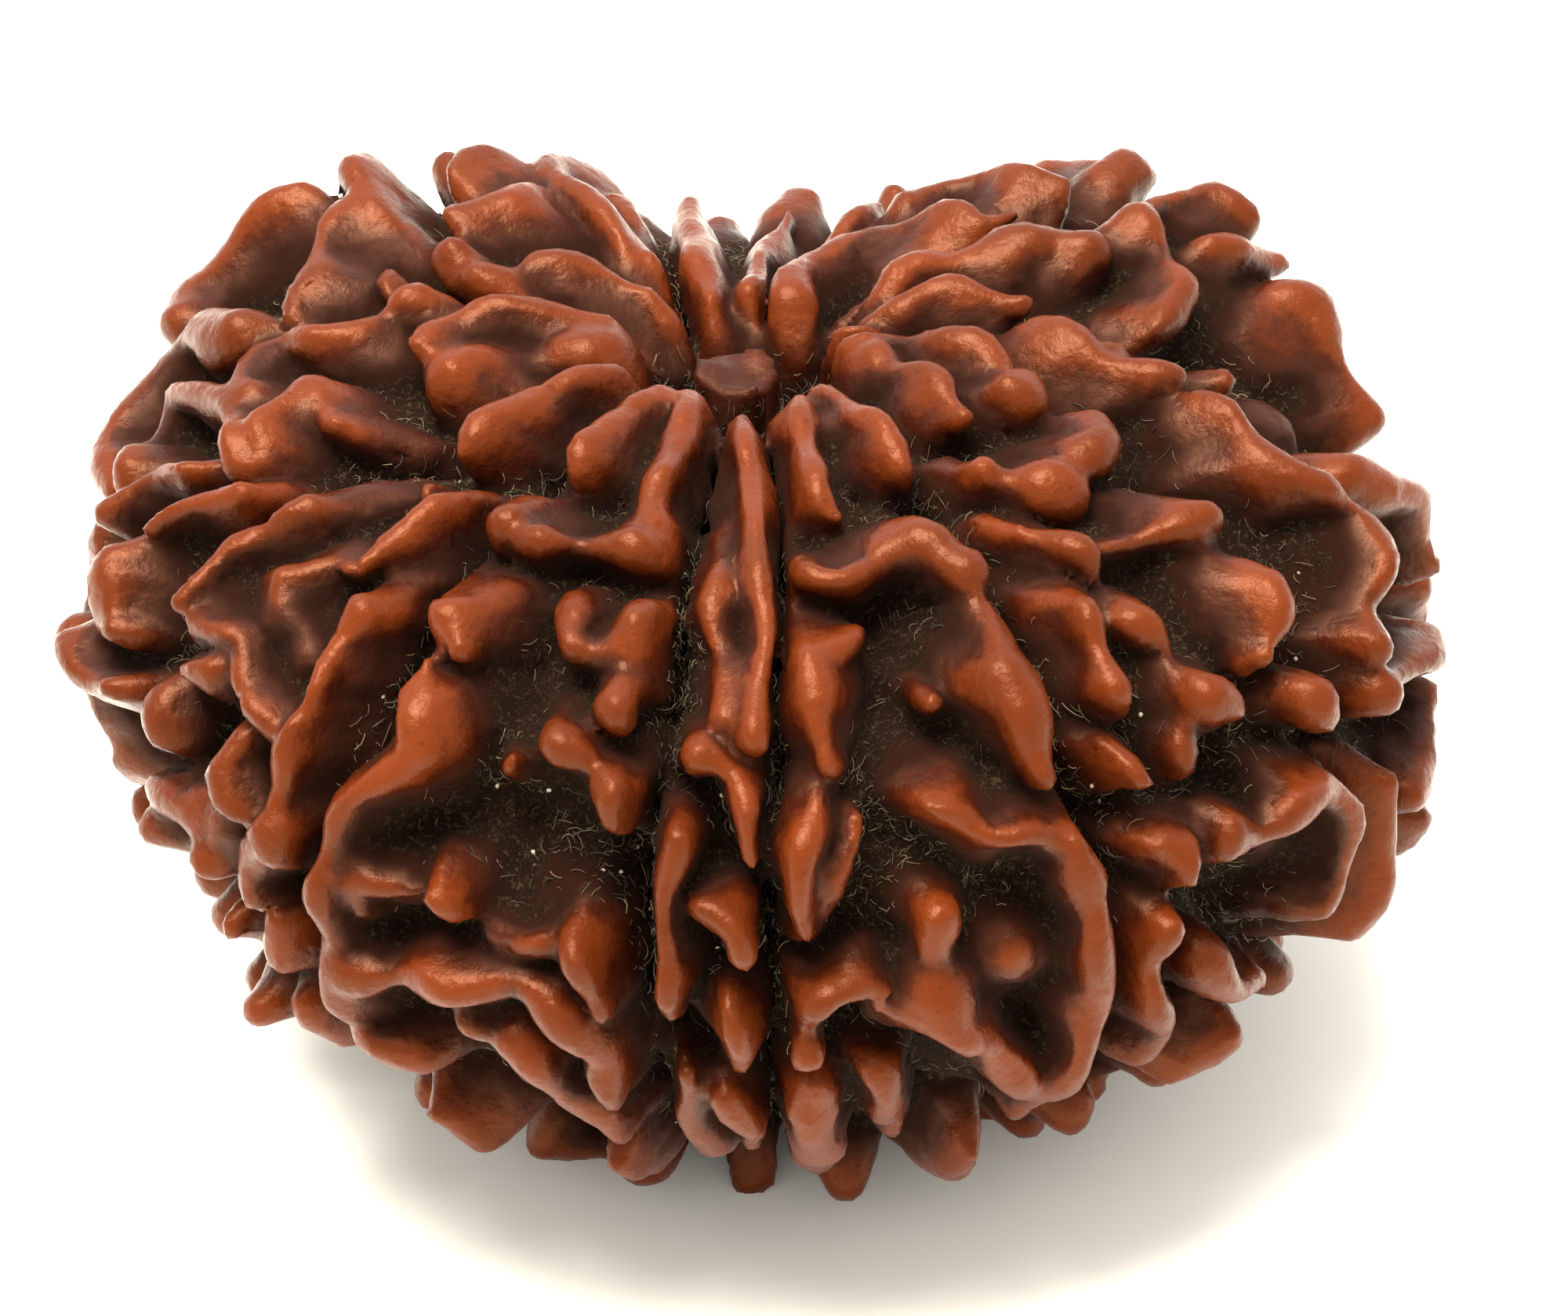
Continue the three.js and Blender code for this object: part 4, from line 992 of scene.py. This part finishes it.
class ScatterLook(PropertyGroup):
    """How many bits cling in the valleys, and their size and colours."""

    density: FloatProperty(
        name="Density",
        description="Bits on each square millimetre of valley floor",
        default=30.0,
    )
    length: FloatProperty(
        name="Length",
        description="Usual length of one bit",
        default=0.27 * MM,
        unit="LENGTH",
    )
    thickness: FloatProperty(
        name="Thickness",
        description="Thickness of one bit",
        default=0.018 * MM,
        unit="LENGTH",
    )
    seed: IntProperty(
        name="Seed",
        description="Changes where the bits lie",
        default=5,
    )
    dark: FloatVectorProperty(
        name="Dark",
        description="Colour of the darkest bits",
        default=(0.010, 0.007, 0.0035),
        subtype="COLOR",
    )
    light: FloatVectorProperty(
        name="Light",
        description="Colour of the palest bits",
        default=(0.145, 0.100, 0.040),
        subtype="COLOR",
    )


class StageLook(PropertyGroup):
    """The floor, the lights and the camera."""

    floor: FloatVectorProperty(
        name="Floor",
        description="Colour of the floor",
        default=(0.94, 0.92, 0.83),
        subtype="COLOR",
    )
    key: FloatProperty(
        name="Key light",
        description="Power of the large light over the bead",
        default=1.0,
        unit="POWER",
    )
    gleam: FloatProperty(
        name="Gleam light",
        description="Power of the smaller light, which puts bright spots on the ridge tops",
        default=6.0,
        unit="POWER",
    )
    around: FloatProperty(
        name="Surroundings",
        description="Brightness of the white surroundings",
        default=1.6,
    )
    elevation: FloatProperty(
        name="Camera elevation",
        description="Angle of the camera over the horizon",
        default=math.radians(34),
        subtype="ANGLE",
    )
    distance: FloatProperty(
        name="Camera distance",
        description="Distance from the camera to the bead's centre",
        default=120 * MM,
        unit="LENGTH",
    )


# The sockets of a Mix node that hold its two colours and their mix
MIX_FIRST = 6
MIX_SECOND = 7
MIX_RESULT = 2


class Shader:
    """Short ways to add nodes to a material."""

    def __init__(self, name):
        self.material = bpy.data.materials.new(name)
        self.material.use_nodes = True
        self.nodes = self.material.node_tree.nodes
        self.links = self.material.node_tree.links
        self.principled = self.nodes["Principled BSDF"]

    def join(self, value, socket):
        """Links an output to a socket, or sets a plain value on it."""
        if isinstance(value, bpy.types.NodeSocket):
            self.links.new(value, socket)
        else:
            socket.default_value = value

    def position(self):
        """The place on the object in metres."""
        return self.nodes.new("ShaderNodeTexCoord").outputs["Object"]

    def attribute(self, name):
        """A number stored at the mesh's points."""
        node = self.nodes.new("ShaderNodeAttribute")
        node.attribute_name = name
        return node.outputs["Fac"]

    def noise(self, size, detail=3.0, roughness=0.55, distortion=0.0):
        """Soft noise from 0 to 1 with lumps of a size in metres."""
        node = self.nodes.new("ShaderNodeTexNoise")
        self.join(self.position(), node.inputs["Vector"])
        node.inputs["Scale"].default_value = 1 / size
        node.inputs["Detail"].default_value = detail
        node.inputs["Roughness"].default_value = roughness
        node.inputs["Distortion"].default_value = distortion
        return node.outputs["Fac"]

    def spots(self, size):
        """Distance to the nearest of many scattered spots, about a size in metres apart."""
        node = self.nodes.new("ShaderNodeTexVoronoi")
        self.join(self.position(), node.inputs["Vector"])
        node.inputs["Scale"].default_value = 1 / size
        return node.outputs["Distance"]

    def math(self, operation, a, b=0.0, clamp=False):
        """One sum of two numbers."""
        node = self.nodes.new("ShaderNodeMath")
        node.operation = operation
        node.use_clamp = clamp
        self.join(a, node.inputs[0])
        self.join(b, node.inputs[1])
        return node.outputs[0]

    def ranged(self, value, low, high, to_low=0.0, to_high=1.0):
        """A number smoothly taken from one range to another."""
        node = self.nodes.new("ShaderNodeMapRange")
        node.interpolation_type = "SMOOTHSTEP"
        self.join(value, node.inputs["Value"])
        node.inputs["From Min"].default_value = low
        node.inputs["From Max"].default_value = high
        node.inputs["To Min"].default_value = to_low
        node.inputs["To Max"].default_value = to_high
        return node.outputs["Result"]

    def mixed(self, share, a, b, blend="MIX"):
        """Two colours mixed."""
        node = self.nodes.new("ShaderNodeMix")
        node.data_type = "RGBA"
        node.blend_type = blend
        self.join(share, node.inputs["Factor"])
        self.join(colour_of(a), node.inputs[MIX_FIRST])
        self.join(colour_of(b), node.inputs[MIX_SECOND])
        return node.outputs[MIX_RESULT]

    def bumped(self, height, distance, strength=1.0, under=None):
        """The surface's normal with a height pattern on it."""
        node = self.nodes.new("ShaderNodeBump")
        node.inputs["Strength"].default_value = strength
        node.inputs["Distance"].default_value = distance
        self.join(height, node.inputs["Height"])
        if under is not None:
            self.join(under, node.inputs["Normal"])
        return node.outputs["Normal"]


def colour_of(value):
    """A colour with its fourth number, or a socket as it is."""
    return value if isinstance(value, bpy.types.NodeSocket) else (*value, 1.0)


# The range that most of a noise lies in
NOISE_RANGE = (0.3, 0.7)

# What wears the bead's surface and paints shade on it: its height on the relief, more on convex places, and a
# little by chance. High, convex places are worn lighter. Low and concave ones darken, partly by the valleys'
# own colour and partly by painted shade
CONVEX_WEAR_AND_SHADE = 0.55
LUMP_WEAR = 0.14
GRAIN_WEAR = 0.06

# The wear and painted shade from which each colour shows and at which it is full, the range of it that takes
# the surface from dull to glossy, and what the grain adds to the dullness
FLANK_WEAR_AND_SHADE = (0.05, 0.42)
SHOULDER_WEAR_AND_SHADE = (0.45, 1.06)
CREST_WEAR_AND_SHADE = (0.92, 1.42)
GLOSS_WEAR = (0.35, 1.1)
DULL = 1.0
GLOSSY = 0.27
GRAIN_DULLNESS = (-0.06, 0.08)
GLOSS_LEVEL = 0.22
GLOSS_TINT = (1.0, 0.5, 0.3, 1.0)

# Sizes of the surface's patterns
LUMP_SIZE = 1.6 * MM
TANGLE_SIZE = 0.11 * MM
PORE_SPACING = 0.37 * MM
STAIN_SIZE = 4.5 * MM
RIPPLE_SIZE = 0.9 * MM

# Where fuzz shows in the tangle, how far a pore reaches and how dark it is, and where stains lie and what
# they do to the colour
FUZZ_SHOWS = (0.52, 0.66)
PORE_REACH = (0.04, 0.18)
PORE_SHADE = (0.72, 1.0)
STAIN_SHOWS = (0.35, 0.65)
STAIN_SHADE = (0.8, 1.12)

# The depth of the ripples, the grain and the pores, which are in the shading alone
RIPPLE_DEPTH = 0.07 * MM
GRAIN_DEPTH = 0.03 * MM
PORE_DEPTH = 0.012 * MM


def endocarp_material(finish):
    """Worn red-brown tops over nearly black valleys deepened by painted shade, with a fine grain."""
    shader = Shader("endocarp")
    height = shader.attribute("height")
    convex = shader.attribute("convex")
    lumps = shader.noise(LUMP_SIZE, detail=4.0)
    grain = shader.noise(finish.grain, detail=5.0, roughness=0.65)
    wear_and_shade = shader.math("ADD", height, shader.math("MULTIPLY", convex, CONVEX_WEAR_AND_SHADE))
    wear_and_shade = shader.math("ADD", wear_and_shade, shader.ranged(lumps, *NOISE_RANGE, -LUMP_WEAR, LUMP_WEAR))
    wear_and_shade = shader.math("ADD", wear_and_shade, shader.ranged(grain, *NOISE_RANGE, -GRAIN_WEAR, GRAIN_WEAR))
    tangle = shader.noise(TANGLE_SIZE, detail=4.0, roughness=0.6, distortion=1.2)
    colour = shader.mixed(shader.ranged(tangle, *FUZZ_SHOWS), tuple(finish.valley), tuple(finish.fuzz))
    # Lighter on worn high, convex places, darker down the flanks and into valleys and creases, partly painted
    # shade
    for shown, layer in (
        (FLANK_WEAR_AND_SHADE, finish.flank),
        (SHOULDER_WEAR_AND_SHADE, finish.shoulder),
        (CREST_WEAR_AND_SHADE, finish.crest),
    ):
        colour = shader.mixed(shader.ranged(wear_and_shade, *shown), colour, tuple(layer))
    pores = shader.ranged(shader.spots(PORE_SPACING), *PORE_REACH, *PORE_SHADE)
    stain = shader.ranged(shader.noise(STAIN_SIZE, detail=2.0), *STAIN_SHOWS, *STAIN_SHADE)
    shade = shader.math("MULTIPLY", pores, stain)
    grey = shader.nodes.new("ShaderNodeCombineColor")
    for channel in ("Red", "Green", "Blue"):
        shader.join(shade, grey.inputs[channel])
    colour = shader.mixed(1.0, colour, grey.outputs["Color"], "MULTIPLY")
    shader.join(colour, shader.principled.inputs["Base Color"])
    shader.principled.inputs["Specular IOR Level"].default_value = GLOSS_LEVEL
    shader.principled.inputs["Specular Tint"].default_value = GLOSS_TINT
    dull = shader.ranged(wear_and_shade, *GLOSS_WEAR, DULL, GLOSSY)
    rough = shader.math("ADD", dull, shader.ranged(grain, *NOISE_RANGE, *GRAIN_DULLNESS), clamp=True)
    shader.join(rough, shader.principled.inputs["Roughness"])
    relief = shader.bumped(shader.noise(RIPPLE_SIZE, detail=3.0), RIPPLE_DEPTH)
    relief = shader.bumped(grain, GRAIN_DEPTH, under=relief)
    relief = shader.bumped(pores, PORE_DEPTH, under=relief)
    shader.join(relief, shader.principled.inputs["Normal"])
    return shader.material


# Dry fibres and crumbs: the tints that turn from dark to light, their blotches, dullness and fine bumps
TINT_RANGE = (0.1, 1.0)
BLOTCH_SIZE = 0.12 * MM
BLOTCH_SHADE = 0.45
RESIDUE_DULLNESS = 0.75
RESIDUE_BUMP_SIZE = 0.05 * MM
RESIDUE_BUMP_DEPTH = 0.008 * MM


def residue_material(name, look):
    """Dry plant matter, from dark to pale by each bit's own tint."""
    shader = Shader(name)
    tint = shader.attribute("tint")
    colour = shader.mixed(shader.ranged(tint, *TINT_RANGE), tuple(look.dark), tuple(look.light))
    blotches = shader.ranged(shader.noise(BLOTCH_SIZE, detail=2.0), *NOISE_RANGE)
    colour = shader.mixed(shader.math("MULTIPLY", blotches, BLOTCH_SHADE), colour, tuple(look.dark))
    shader.join(colour, shader.principled.inputs["Base Color"])
    shader.principled.inputs["Roughness"].default_value = RESIDUE_DULLNESS
    bump = shader.bumped(shader.noise(RESIDUE_BUMP_SIZE, detail=2.0), RESIDUE_BUMP_DEPTH)
    shader.join(bump, shader.principled.inputs["Normal"])
    return shader.material


# The floor's second tone, how much of it shows at most, the size of its patches, and its dullness
FLOOR_SHADE = (0.8, 0.76, 0.64)
FLOOR_SHADE_SHARE = 0.04
FLOOR_PATCH = 60 * MM
FLOOR_DULLNESS = 0.6


def floor_material(look):
    """A plain pale floor with a barely uneven tone."""
    shader = Shader("pale_floor")
    tone = shader.ranged(shader.noise(FLOOR_PATCH, detail=2.0), *NOISE_RANGE, 0.0, FLOOR_SHADE_SHARE)
    colour = shader.mixed(tone, tuple(look.floor), FLOOR_SHADE)
    shader.join(colour, shader.principled.inputs["Base Color"])
    shader.principled.inputs["Roughness"].default_value = FLOOR_DULLNESS
    return shader.material


SCATTER_INPUTS = {
    "Density": "NodeSocketFloat",
    "Length": "NodeSocketFloat",
    "Thickness": "NodeSocketFloat",
    "Seed": "NodeSocketInt",
    "Material": "NodeSocketMaterial",
}


class Tree:
    """A Geometry Nodes tree with named inputs, and short ways to add nodes to it."""

    def __init__(self, name, inputs):
        self.tree = bpy.data.node_groups.new(name, "GeometryNodeTree")
        for label, kind in {"Geometry": "NodeSocketGeometry", **inputs}.items():
            self.tree.interface.new_socket(label, in_out="INPUT", socket_type=kind)
        self.tree.interface.new_socket("Geometry", in_out="OUTPUT", socket_type="NodeSocketGeometry")
        self.start = self.tree.nodes.new("NodeGroupInput")
        self.end = self.tree.nodes.new("NodeGroupOutput")

    def given(self, label):
        """One of the tree's own inputs."""
        return self.start.outputs[label]

    def add(self, kind, inputs=None, **settings):
        """A node with its settings and its inputs, which are outputs of other nodes or plain values."""
        node = self.tree.nodes.new(kind)
        for key, value in settings.items():
            setattr(node, key, value)
        for key, value in (inputs or {}).items():
            if isinstance(value, bpy.types.NodeSocket):
                self.tree.links.new(value, node.inputs[key])
            else:
                node.inputs[key].default_value = value
        return node

    def sum(self, operation, a, b):
        """One sum of two numbers."""
        return self.add("ShaderNodeMath", {0: a, 1: b}, operation=operation).outputs[0]

    def random(self, low, high, seed, kind="FLOAT"):
        """A random number, or three of them, for each copy."""
        node = self.add("FunctionNodeRandomValue", data_type=kind)
        low_socket, high_socket = [s for s in node.inputs if s.enabled and s.name in ("Min", "Max")]
        low_socket.default_value = low
        high_socket.default_value = high
        seed_socket = next(s for s in node.inputs if s.name == "Seed")
        self.tree.links.new(self.sum("ADD", self.given("Seed"), seed), seed_socket)
        return next(s for s in node.outputs if s.enabled)


# How far a bit tips out of the surface either way, in radians, its least and greatest scale along each axis,
# and what is added to the seed for each thing that chance gives
TIP = 0.5
LEAST_SCALE = (0.4, 0.5, 0.4)
GREATEST_SCALE = (1.5, 1.3, 1.6)
CHANCE = {"turn": 11, "scale": 23, "tint": 37}


def scattered(build, bit):
    """Ends a tree that strews copies of a bit over the valleys, each turned, scaled and tinted by chance."""
    mask = build.add("GeometryNodeInputNamedAttribute", {"Name": "valley"}, data_type="FLOAT")
    density = build.sum("MULTIPLY", build.given("Density"), mask.outputs["Attribute"])
    places = build.add(
        "GeometryNodeDistributePointsOnFaces",
        {"Mesh": build.given("Geometry"), "Density": density, "Seed": build.given("Seed")},
    )
    turn = build.random((-TIP, -TIP, 0.0), (TIP, TIP, 2 * math.pi), CHANCE["turn"], "FLOAT_VECTOR")
    turning = build.add("FunctionNodeEulerToRotation", {"Euler": turn})
    turned = build.add(
        "FunctionNodeRotateRotation",
        {"Rotation": places.outputs["Rotation"], "Rotate By": turning.outputs["Rotation"]},
        rotation_space="LOCAL",
    )
    scale = build.random(LEAST_SCALE, GREATEST_SCALE, CHANCE["scale"], "FLOAT_VECTOR")
    copies = build.add(
        "GeometryNodeInstanceOnPoints",
        {
            "Points": places.outputs["Points"],
            "Instance": bit,
            "Rotation": turned.outputs["Rotation"],
            "Scale": scale,
        },
    )
    tint = build.random(0.0, 1.0, CHANCE["tint"])
    tinted = build.add(
        "GeometryNodeStoreNamedAttribute",
        {"Geometry": copies.outputs["Instances"], "Name": "tint", "Value": tint},
        data_type="FLOAT",
        domain="INSTANCE",
    )
    real = build.add("GeometryNodeRealizeInstances", {"Geometry": tinted.outputs["Geometry"]})
    painted = build.add(
        "GeometryNodeSetMaterial",
        {"Geometry": real.outputs["Geometry"], "Material": build.given("Material")},
    )
    build.tree.links.new(painted.outputs["Geometry"], build.end.inputs["Geometry"])
    return build.tree


# A fibre's arch as a share of its length, its bend to the side as a share of half of that, how much of the
# arch its far end keeps, and how many steps and sides it has
FIBRE_ARCH = 0.3
FIBRE_BEND = 0.5
FIBRE_END_RISE = 0.2
FIBRE_STEPS = 3
FIBRE_SIDES = 3

# The fibres are strewn in batches, and each batch is so much longer or shorter than their usual length
FIBRE_SIZES = {"long_fibres": 1.3, "middling_fibres": 0.95, "short_fibres": 0.65}


def fibre_tree():
    """Short bent strands that lie in the valleys."""
    build = Tree("Valley fibres", SCATTER_INPUTS)
    half = build.sum("MULTIPLY", build.given("Length"), 0.5)
    rise = build.sum("MULTIPLY", build.given("Length"), FIBRE_ARCH)
    bend = build.sum("MULTIPLY", half, FIBRE_BEND)
    start = build.add("ShaderNodeCombineXYZ", {"X": build.sum("MULTIPLY", half, -1.0)})
    middle = build.add("ShaderNodeCombineXYZ", {"Y": bend, "Z": rise})
    end = build.add("ShaderNodeCombineXYZ", {"X": half, "Z": build.sum("MULTIPLY", rise, FIBRE_END_RISE)})
    line = build.add(
        "GeometryNodeCurveQuadraticBezier",
        {
            "Resolution": FIBRE_STEPS,
            "Start": start.outputs[0],
            "Middle": middle.outputs[0],
            "End": end.outputs[0],
        },
    )
    radius = build.sum("MULTIPLY", build.given("Thickness"), 0.5)
    ring = build.add("GeometryNodeCurvePrimitiveCircle", {"Resolution": FIBRE_SIDES, "Radius": radius})
    strand = build.add(
        "GeometryNodeCurveToMesh",
        {"Curve": line.outputs["Curve"], "Profile Curve": ring.outputs["Curve"], "Fill Caps": True},
    )
    return scattered(build, strand.outputs["Mesh"])


def crumb_tree():
    """Small lumps that lie in the valleys."""
    build = Tree("Valley crumbs", SCATTER_INPUTS)
    radius = build.sum("MULTIPLY", build.given("Thickness"), 0.5)
    ball = build.add("GeometryNodeMeshIcoSphere", {"Radius": radius, "Subdivisions": 1})
    return scattered(build, ball.outputs["Mesh"])


def strew(name, tree, look, material, batches=1, batch=0, size=1.0):
    """Strews one batch of bits over the bead's valleys, as one plain mesh that rides with the bead."""
    thing = object_from(name, bpy.data.objects["bead_surface"].data.copy())
    modifier = thing.modifiers.new("Strew", "NODES")
    modifier.node_group = tree
    values = {
        "Density": look.density / batches / MM**2,
        "Length": look.length * size,
        "Thickness": look.thickness,
        "Seed": look.seed + batch,
        "Material": material,
    }
    for item in tree.interface.items_tree:
        if item.in_out == "INPUT" and item.name in values:
            modifier[item.identifier] = values[item.name]
    mesh = evaluated_mesh(thing)
    thing.modifiers.remove(modifier)
    thing.data = mesh
    thing.data.name = name
    if not len(mesh.polygons):
        raise RuntimeError(f"{name} came out empty")
    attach(thing, BODY)


def bead_body(form, relief):
    """The bead round its own centre, in millimetres."""
    field = Field(form.cell / MM)
    chance = numbers(FINISH["seed"])
    for item in DRAWN_RIDGES + ruled_ridges():
        field.add_ridge(*finished(item, chance))
    distances = field.solid(relief, form.valley_blend / MM)
    points, faces = largest_body(*surface_of(distances, field.low, field.cell))
    if not len(faces):
        raise RuntimeError("the bead's surface came out empty")
    bead = object_from("bead_surface", mesh_from("bead_surface", points, faces))
    thinned(bead, form.triangles)
    return bead


def clinging(points, height):
    """How thickly fibres and crumbs cling at each point, from 0 to 1."""
    x, y, z = points.T
    wave = PATCHES
    patches = np.sin(wave["x"] * x + wave["shift"]) * np.cos(wave["y"] * y)
    patches += wave["second"] * np.sin(wave["z"] * z + x)
    patches = np.clip(wave["middle"] + wave["swing"] * patches, wave["least"], 1)
    return np.clip(CLING - CLING_FALL * height, 0, 1) * patches * (z > CLEAN_BELOW - REST_HEIGHT)


def bumpy(points, normals, height, floor_bumps):
    """Points moved along their normals by small bumps, full on the valley floors and slight on the tops."""
    fractal = (BUMPS["fading"], BUMPS["finer"], BUMPS["sets"])
    bumps = np.array([noise.fractal(Vector(p) * BUMPS["lumps"], *fractal) for p in points])
    rough = np.clip(BUMPS["ends_at"] - height, BUMPS["least"], 1) * floor_bumps / MM
    return points + normals * (bumps * rough)[:, None]


class RUDRAKSHA_OT_bead(Operator):
    """Make the bead's finished surface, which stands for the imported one"""

    bl_idname = "rudraksha.bead"
    bl_label = "Make Bead"

    def execute(self, context):
        form = context.scene.rudraksha_form
        relief = Relief()
        bead = bead_body(form, relief)
        mesh = bead.data
        points, normals = points_of(mesh), normals_of(mesh)
        # The height on the relief darkens the colour towards the valleys, partly as their own colour, partly
        # as painted shade
        height = 1 + (np.linalg.norm(points, axis=1) - relief.look_up(points)[0]) / VALLEY_DEPTH
        # How convex each point is, which the colour reads: worn lighter where convex, painted shade in
        # concave creases
        inwards = ((averaged(points, edge_ends(mesh), CONVEX_ROUNDS) - points) * normals).sum(1)
        resting = points[:, 2] < FLAT_WITHIN - REST_HEIGHT
        valley = np.where(resting, 0, clinging(points, height))
        x, y, z = points.T
        # The pit keeps a share of its height, which darkens the stalk's stub to its own brown and paints
        # shade into the hollow round it
        in_pit = (z > 0) & (np.hypot(x - PIT["x"], y - PIT["y"]) < PIT["radius"])
        height = np.where(in_pit, PIT_SHADE * height, height)
        points = bumpy(points, normals, height, form.floor_bumps)
        points[:, 2] = np.where(resting, -REST_HEIGHT, np.maximum(points[:, 2], -REST_HEIGHT))
        points[:, 0] += math.tan(math.radians(LEAN)) * points[:, 2]
        low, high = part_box(NODE)
        middle = (points.min(0) + points.max(0)) / 2
        context.scene["bead_centre"] = [
            (low.x + high.x) / 2 - middle[0] * MM,
            (low.y + high.y) / 2 - middle[1] * MM,
            low.z + REST_HEIGHT * MM,
        ]
        points = points * MM + np.array(context.scene["bead_centre"])
        mesh.vertices.foreach_set("co", points.ravel())
        set_attribute(mesh, "height", np.clip(height, 0, GREATEST_HEIGHT))
        set_attribute(mesh, "convex", np.clip(-inwards / FULLY_CONVEX, -1, 1))
        set_attribute(mesh, "valley", valley)
        mesh.shade_smooth()
        mesh.materials.append(endocarp_material(context.scene.rudraksha_finish))
        mesh.update()
        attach(bead, BODY)
        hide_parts(NODE)
        return {"FINISHED"}


class RUDRAKSHA_OT_fibres(Operator):
    """Strew short straw-like fibres in the bead's valleys"""

    bl_idname = "rudraksha.fibres"
    bl_label = "Strew Fibres"

    def execute(self, context):
        look = context.scene.rudraksha_fibres
        tree = fibre_tree()
        material = residue_material("dried_fibres", look)
        for batch, (name, size) in enumerate(FIBRE_SIZES.items()):
            strew(name, tree, look, material, len(FIBRE_SIZES), batch, size)
        return {"FINISHED"}


class RUDRAKSHA_OT_crumbs(Operator):
    """Strew small crumbs in the bead's valleys"""

    bl_idname = "rudraksha.crumbs"
    bl_label = "Strew Crumbs"

    def execute(self, context):
        look = context.scene.rudraksha_crumbs
        strew("valley_crumbs", crumb_tree(), look, residue_material("dried_crumbs", look))
        return {"FINISHED"}


# The photograph's frame, and where the bead's centre lies in it
PHOTO_WIDTH = 2000
PHOTO_HEIGHT = 1679
CENTRE_X = 964
CENTRE_Y = 818
FOCAL_PIXELS = 7580
SENSOR_WIDTH = 36
NEAREST_SEEN = 0.005
FARTHEST_SEEN = 10

# The lights, each with its direction from the bead, distance and width in metres and colour, the colour of
# the surroundings, and half the floor's width in metres
LIGHTS = {
    "key": {"towards": (-0.12, 0.1, 1.0), "distance": 0.42, "size": 0.4, "colour": (1.0, 0.97, 0.93)},
    "gleam": {"towards": (-0.2, -0.1, 1.0), "distance": 0.42, "size": 0.24, "colour": (1.0, 0.96, 0.9)},
}
SURROUNDINGS = (1.0, 0.99, 0.97, 1.0)
FLOOR_HALF = 0.8


def area_light(name, power, target):
    """One of the square soft lights, turned to the bead."""
    light = LIGHTS[name]
    data = bpy.data.lights.new(name, "AREA")
    data.size = light["size"]
    data.energy = power
    data.color = light["colour"]
    lamp = bpy.data.objects.new(name, data)
    bpy.context.scene.collection.objects.link(lamp)
    back = Vector(light["towards"]).normalized()
    lamp.location = target + back * light["distance"]
    lamp.rotation_euler = back.to_track_quat("Z", "Y").to_euler()


class RUDRAKSHA_OT_stage(Operator):
    """Set up the pale floor, the soft lights and the camera"""

    bl_idname = "rudraksha.stage"
    bl_label = "Set Up Stage"

    def execute(self, context):
        look = context.scene.rudraksha_stage
        target = Vector(context.scene["bead_centre"])
        corners = FLOOR_HALF * np.array([(-1, -1, 0), (1, -1, 0), (1, 1, 0), (-1, 1, 0)])
        floor = object_from("floor", mesh_from("floor", corners, np.array([[0, 1, 2, 3]])))
        floor.data.materials.append(floor_material(look))

        world = bpy.data.worlds.new("surroundings")
        world.use_nodes = True
        background = world.node_tree.nodes["Background"]
        background.inputs["Color"].default_value = SURROUNDINGS
        background.inputs["Strength"].default_value = look.around
        context.scene.world = world
        area_light("key", look.key, target)
        area_light("gleam", look.gleam, target)

        data = bpy.data.cameras.new("camera")
        data.sensor_width = SENSOR_WIDTH
        data.lens = SENSOR_WIDTH * FOCAL_PIXELS / PHOTO_WIDTH
        data.shift_x = (PHOTO_WIDTH / 2 - CENTRE_X) / PHOTO_WIDTH
        data.shift_y = (CENTRE_Y - PHOTO_HEIGHT / 2) / PHOTO_WIDTH
        data.clip_start = NEAREST_SEEN
        data.clip_end = FARTHEST_SEEN
        camera = bpy.data.objects.new("camera", data)
        context.scene.collection.objects.link(camera)
        back = Vector((0, -math.cos(look.elevation), math.sin(look.elevation)))
        camera.location = target + back * look.distance
        camera.rotation_euler = (-back).to_track_quat("-Z", "Y").to_euler()
        context.scene.camera = camera
        context.scene.view_settings.view_transform = "Standard"
        return {"FINISHED"}


class RUDRAKSHA_PT_panel(Panel):
    """The steps that make the bead, in order"""

    bl_idname = "RUDRAKSHA_PT_panel"
    bl_label = "Rudraksha Bead"
    bl_space_type = "VIEW_3D"
    bl_region_type = "UI"
    bl_category = "Rudraksha"

    def draw(self, context):
        for operator in OPERATORS:
            self.layout.operator(operator.bl_idname)
        for name in SETTINGS:
            box = self.layout.box()
            group = getattr(context.scene, name)
            for key in group.__annotations__:
                box.prop(group, key)


OPERATORS = (RUDRAKSHA_OT_bead, RUDRAKSHA_OT_fibres, RUDRAKSHA_OT_crumbs, RUDRAKSHA_OT_stage)
SETTINGS = {
    "rudraksha_form": BeadForm,
    "rudraksha_finish": BeadFinish,
    "rudraksha_fibres": ScatterLook,
    "rudraksha_crumbs": ScatterLook,
    "rudraksha_stage": StageLook,
}
CLASSES = (BeadForm, BeadFinish, ScatterLook, StageLook, *OPERATORS, RUDRAKSHA_PT_panel)


def register():
    for each in CLASSES:
        bpy.utils.register_class(each)
    for name, group in SETTINGS.items():
        setattr(bpy.types.Scene, name, PointerProperty(type=group))


def unregister():
    for name in SETTINGS:
        delattr(bpy.types.Scene, name)
    for each in reversed(CLASSES):
        bpy.utils.unregister_class(each)


# The crumbs' settings where they differ from the fibres'
CRUMBS = {
    "density": 0.3,
    "thickness": 0.09 * MM,
    "seed": 9,
    "dark": (0.21, 0.17, 0.105),
    "light": (0.44, 0.39, 0.30),
}


def main():
    register()
    for key, value in CRUMBS.items():
        setattr(bpy.context.scene.rudraksha_crumbs, key, value)
    bpy.ops.rudraksha.bead()
    bpy.ops.rudraksha.fibres()
    bpy.ops.rudraksha.crumbs()
    bpy.ops.rudraksha.stage()


if __name__ == "__main__":
    main()
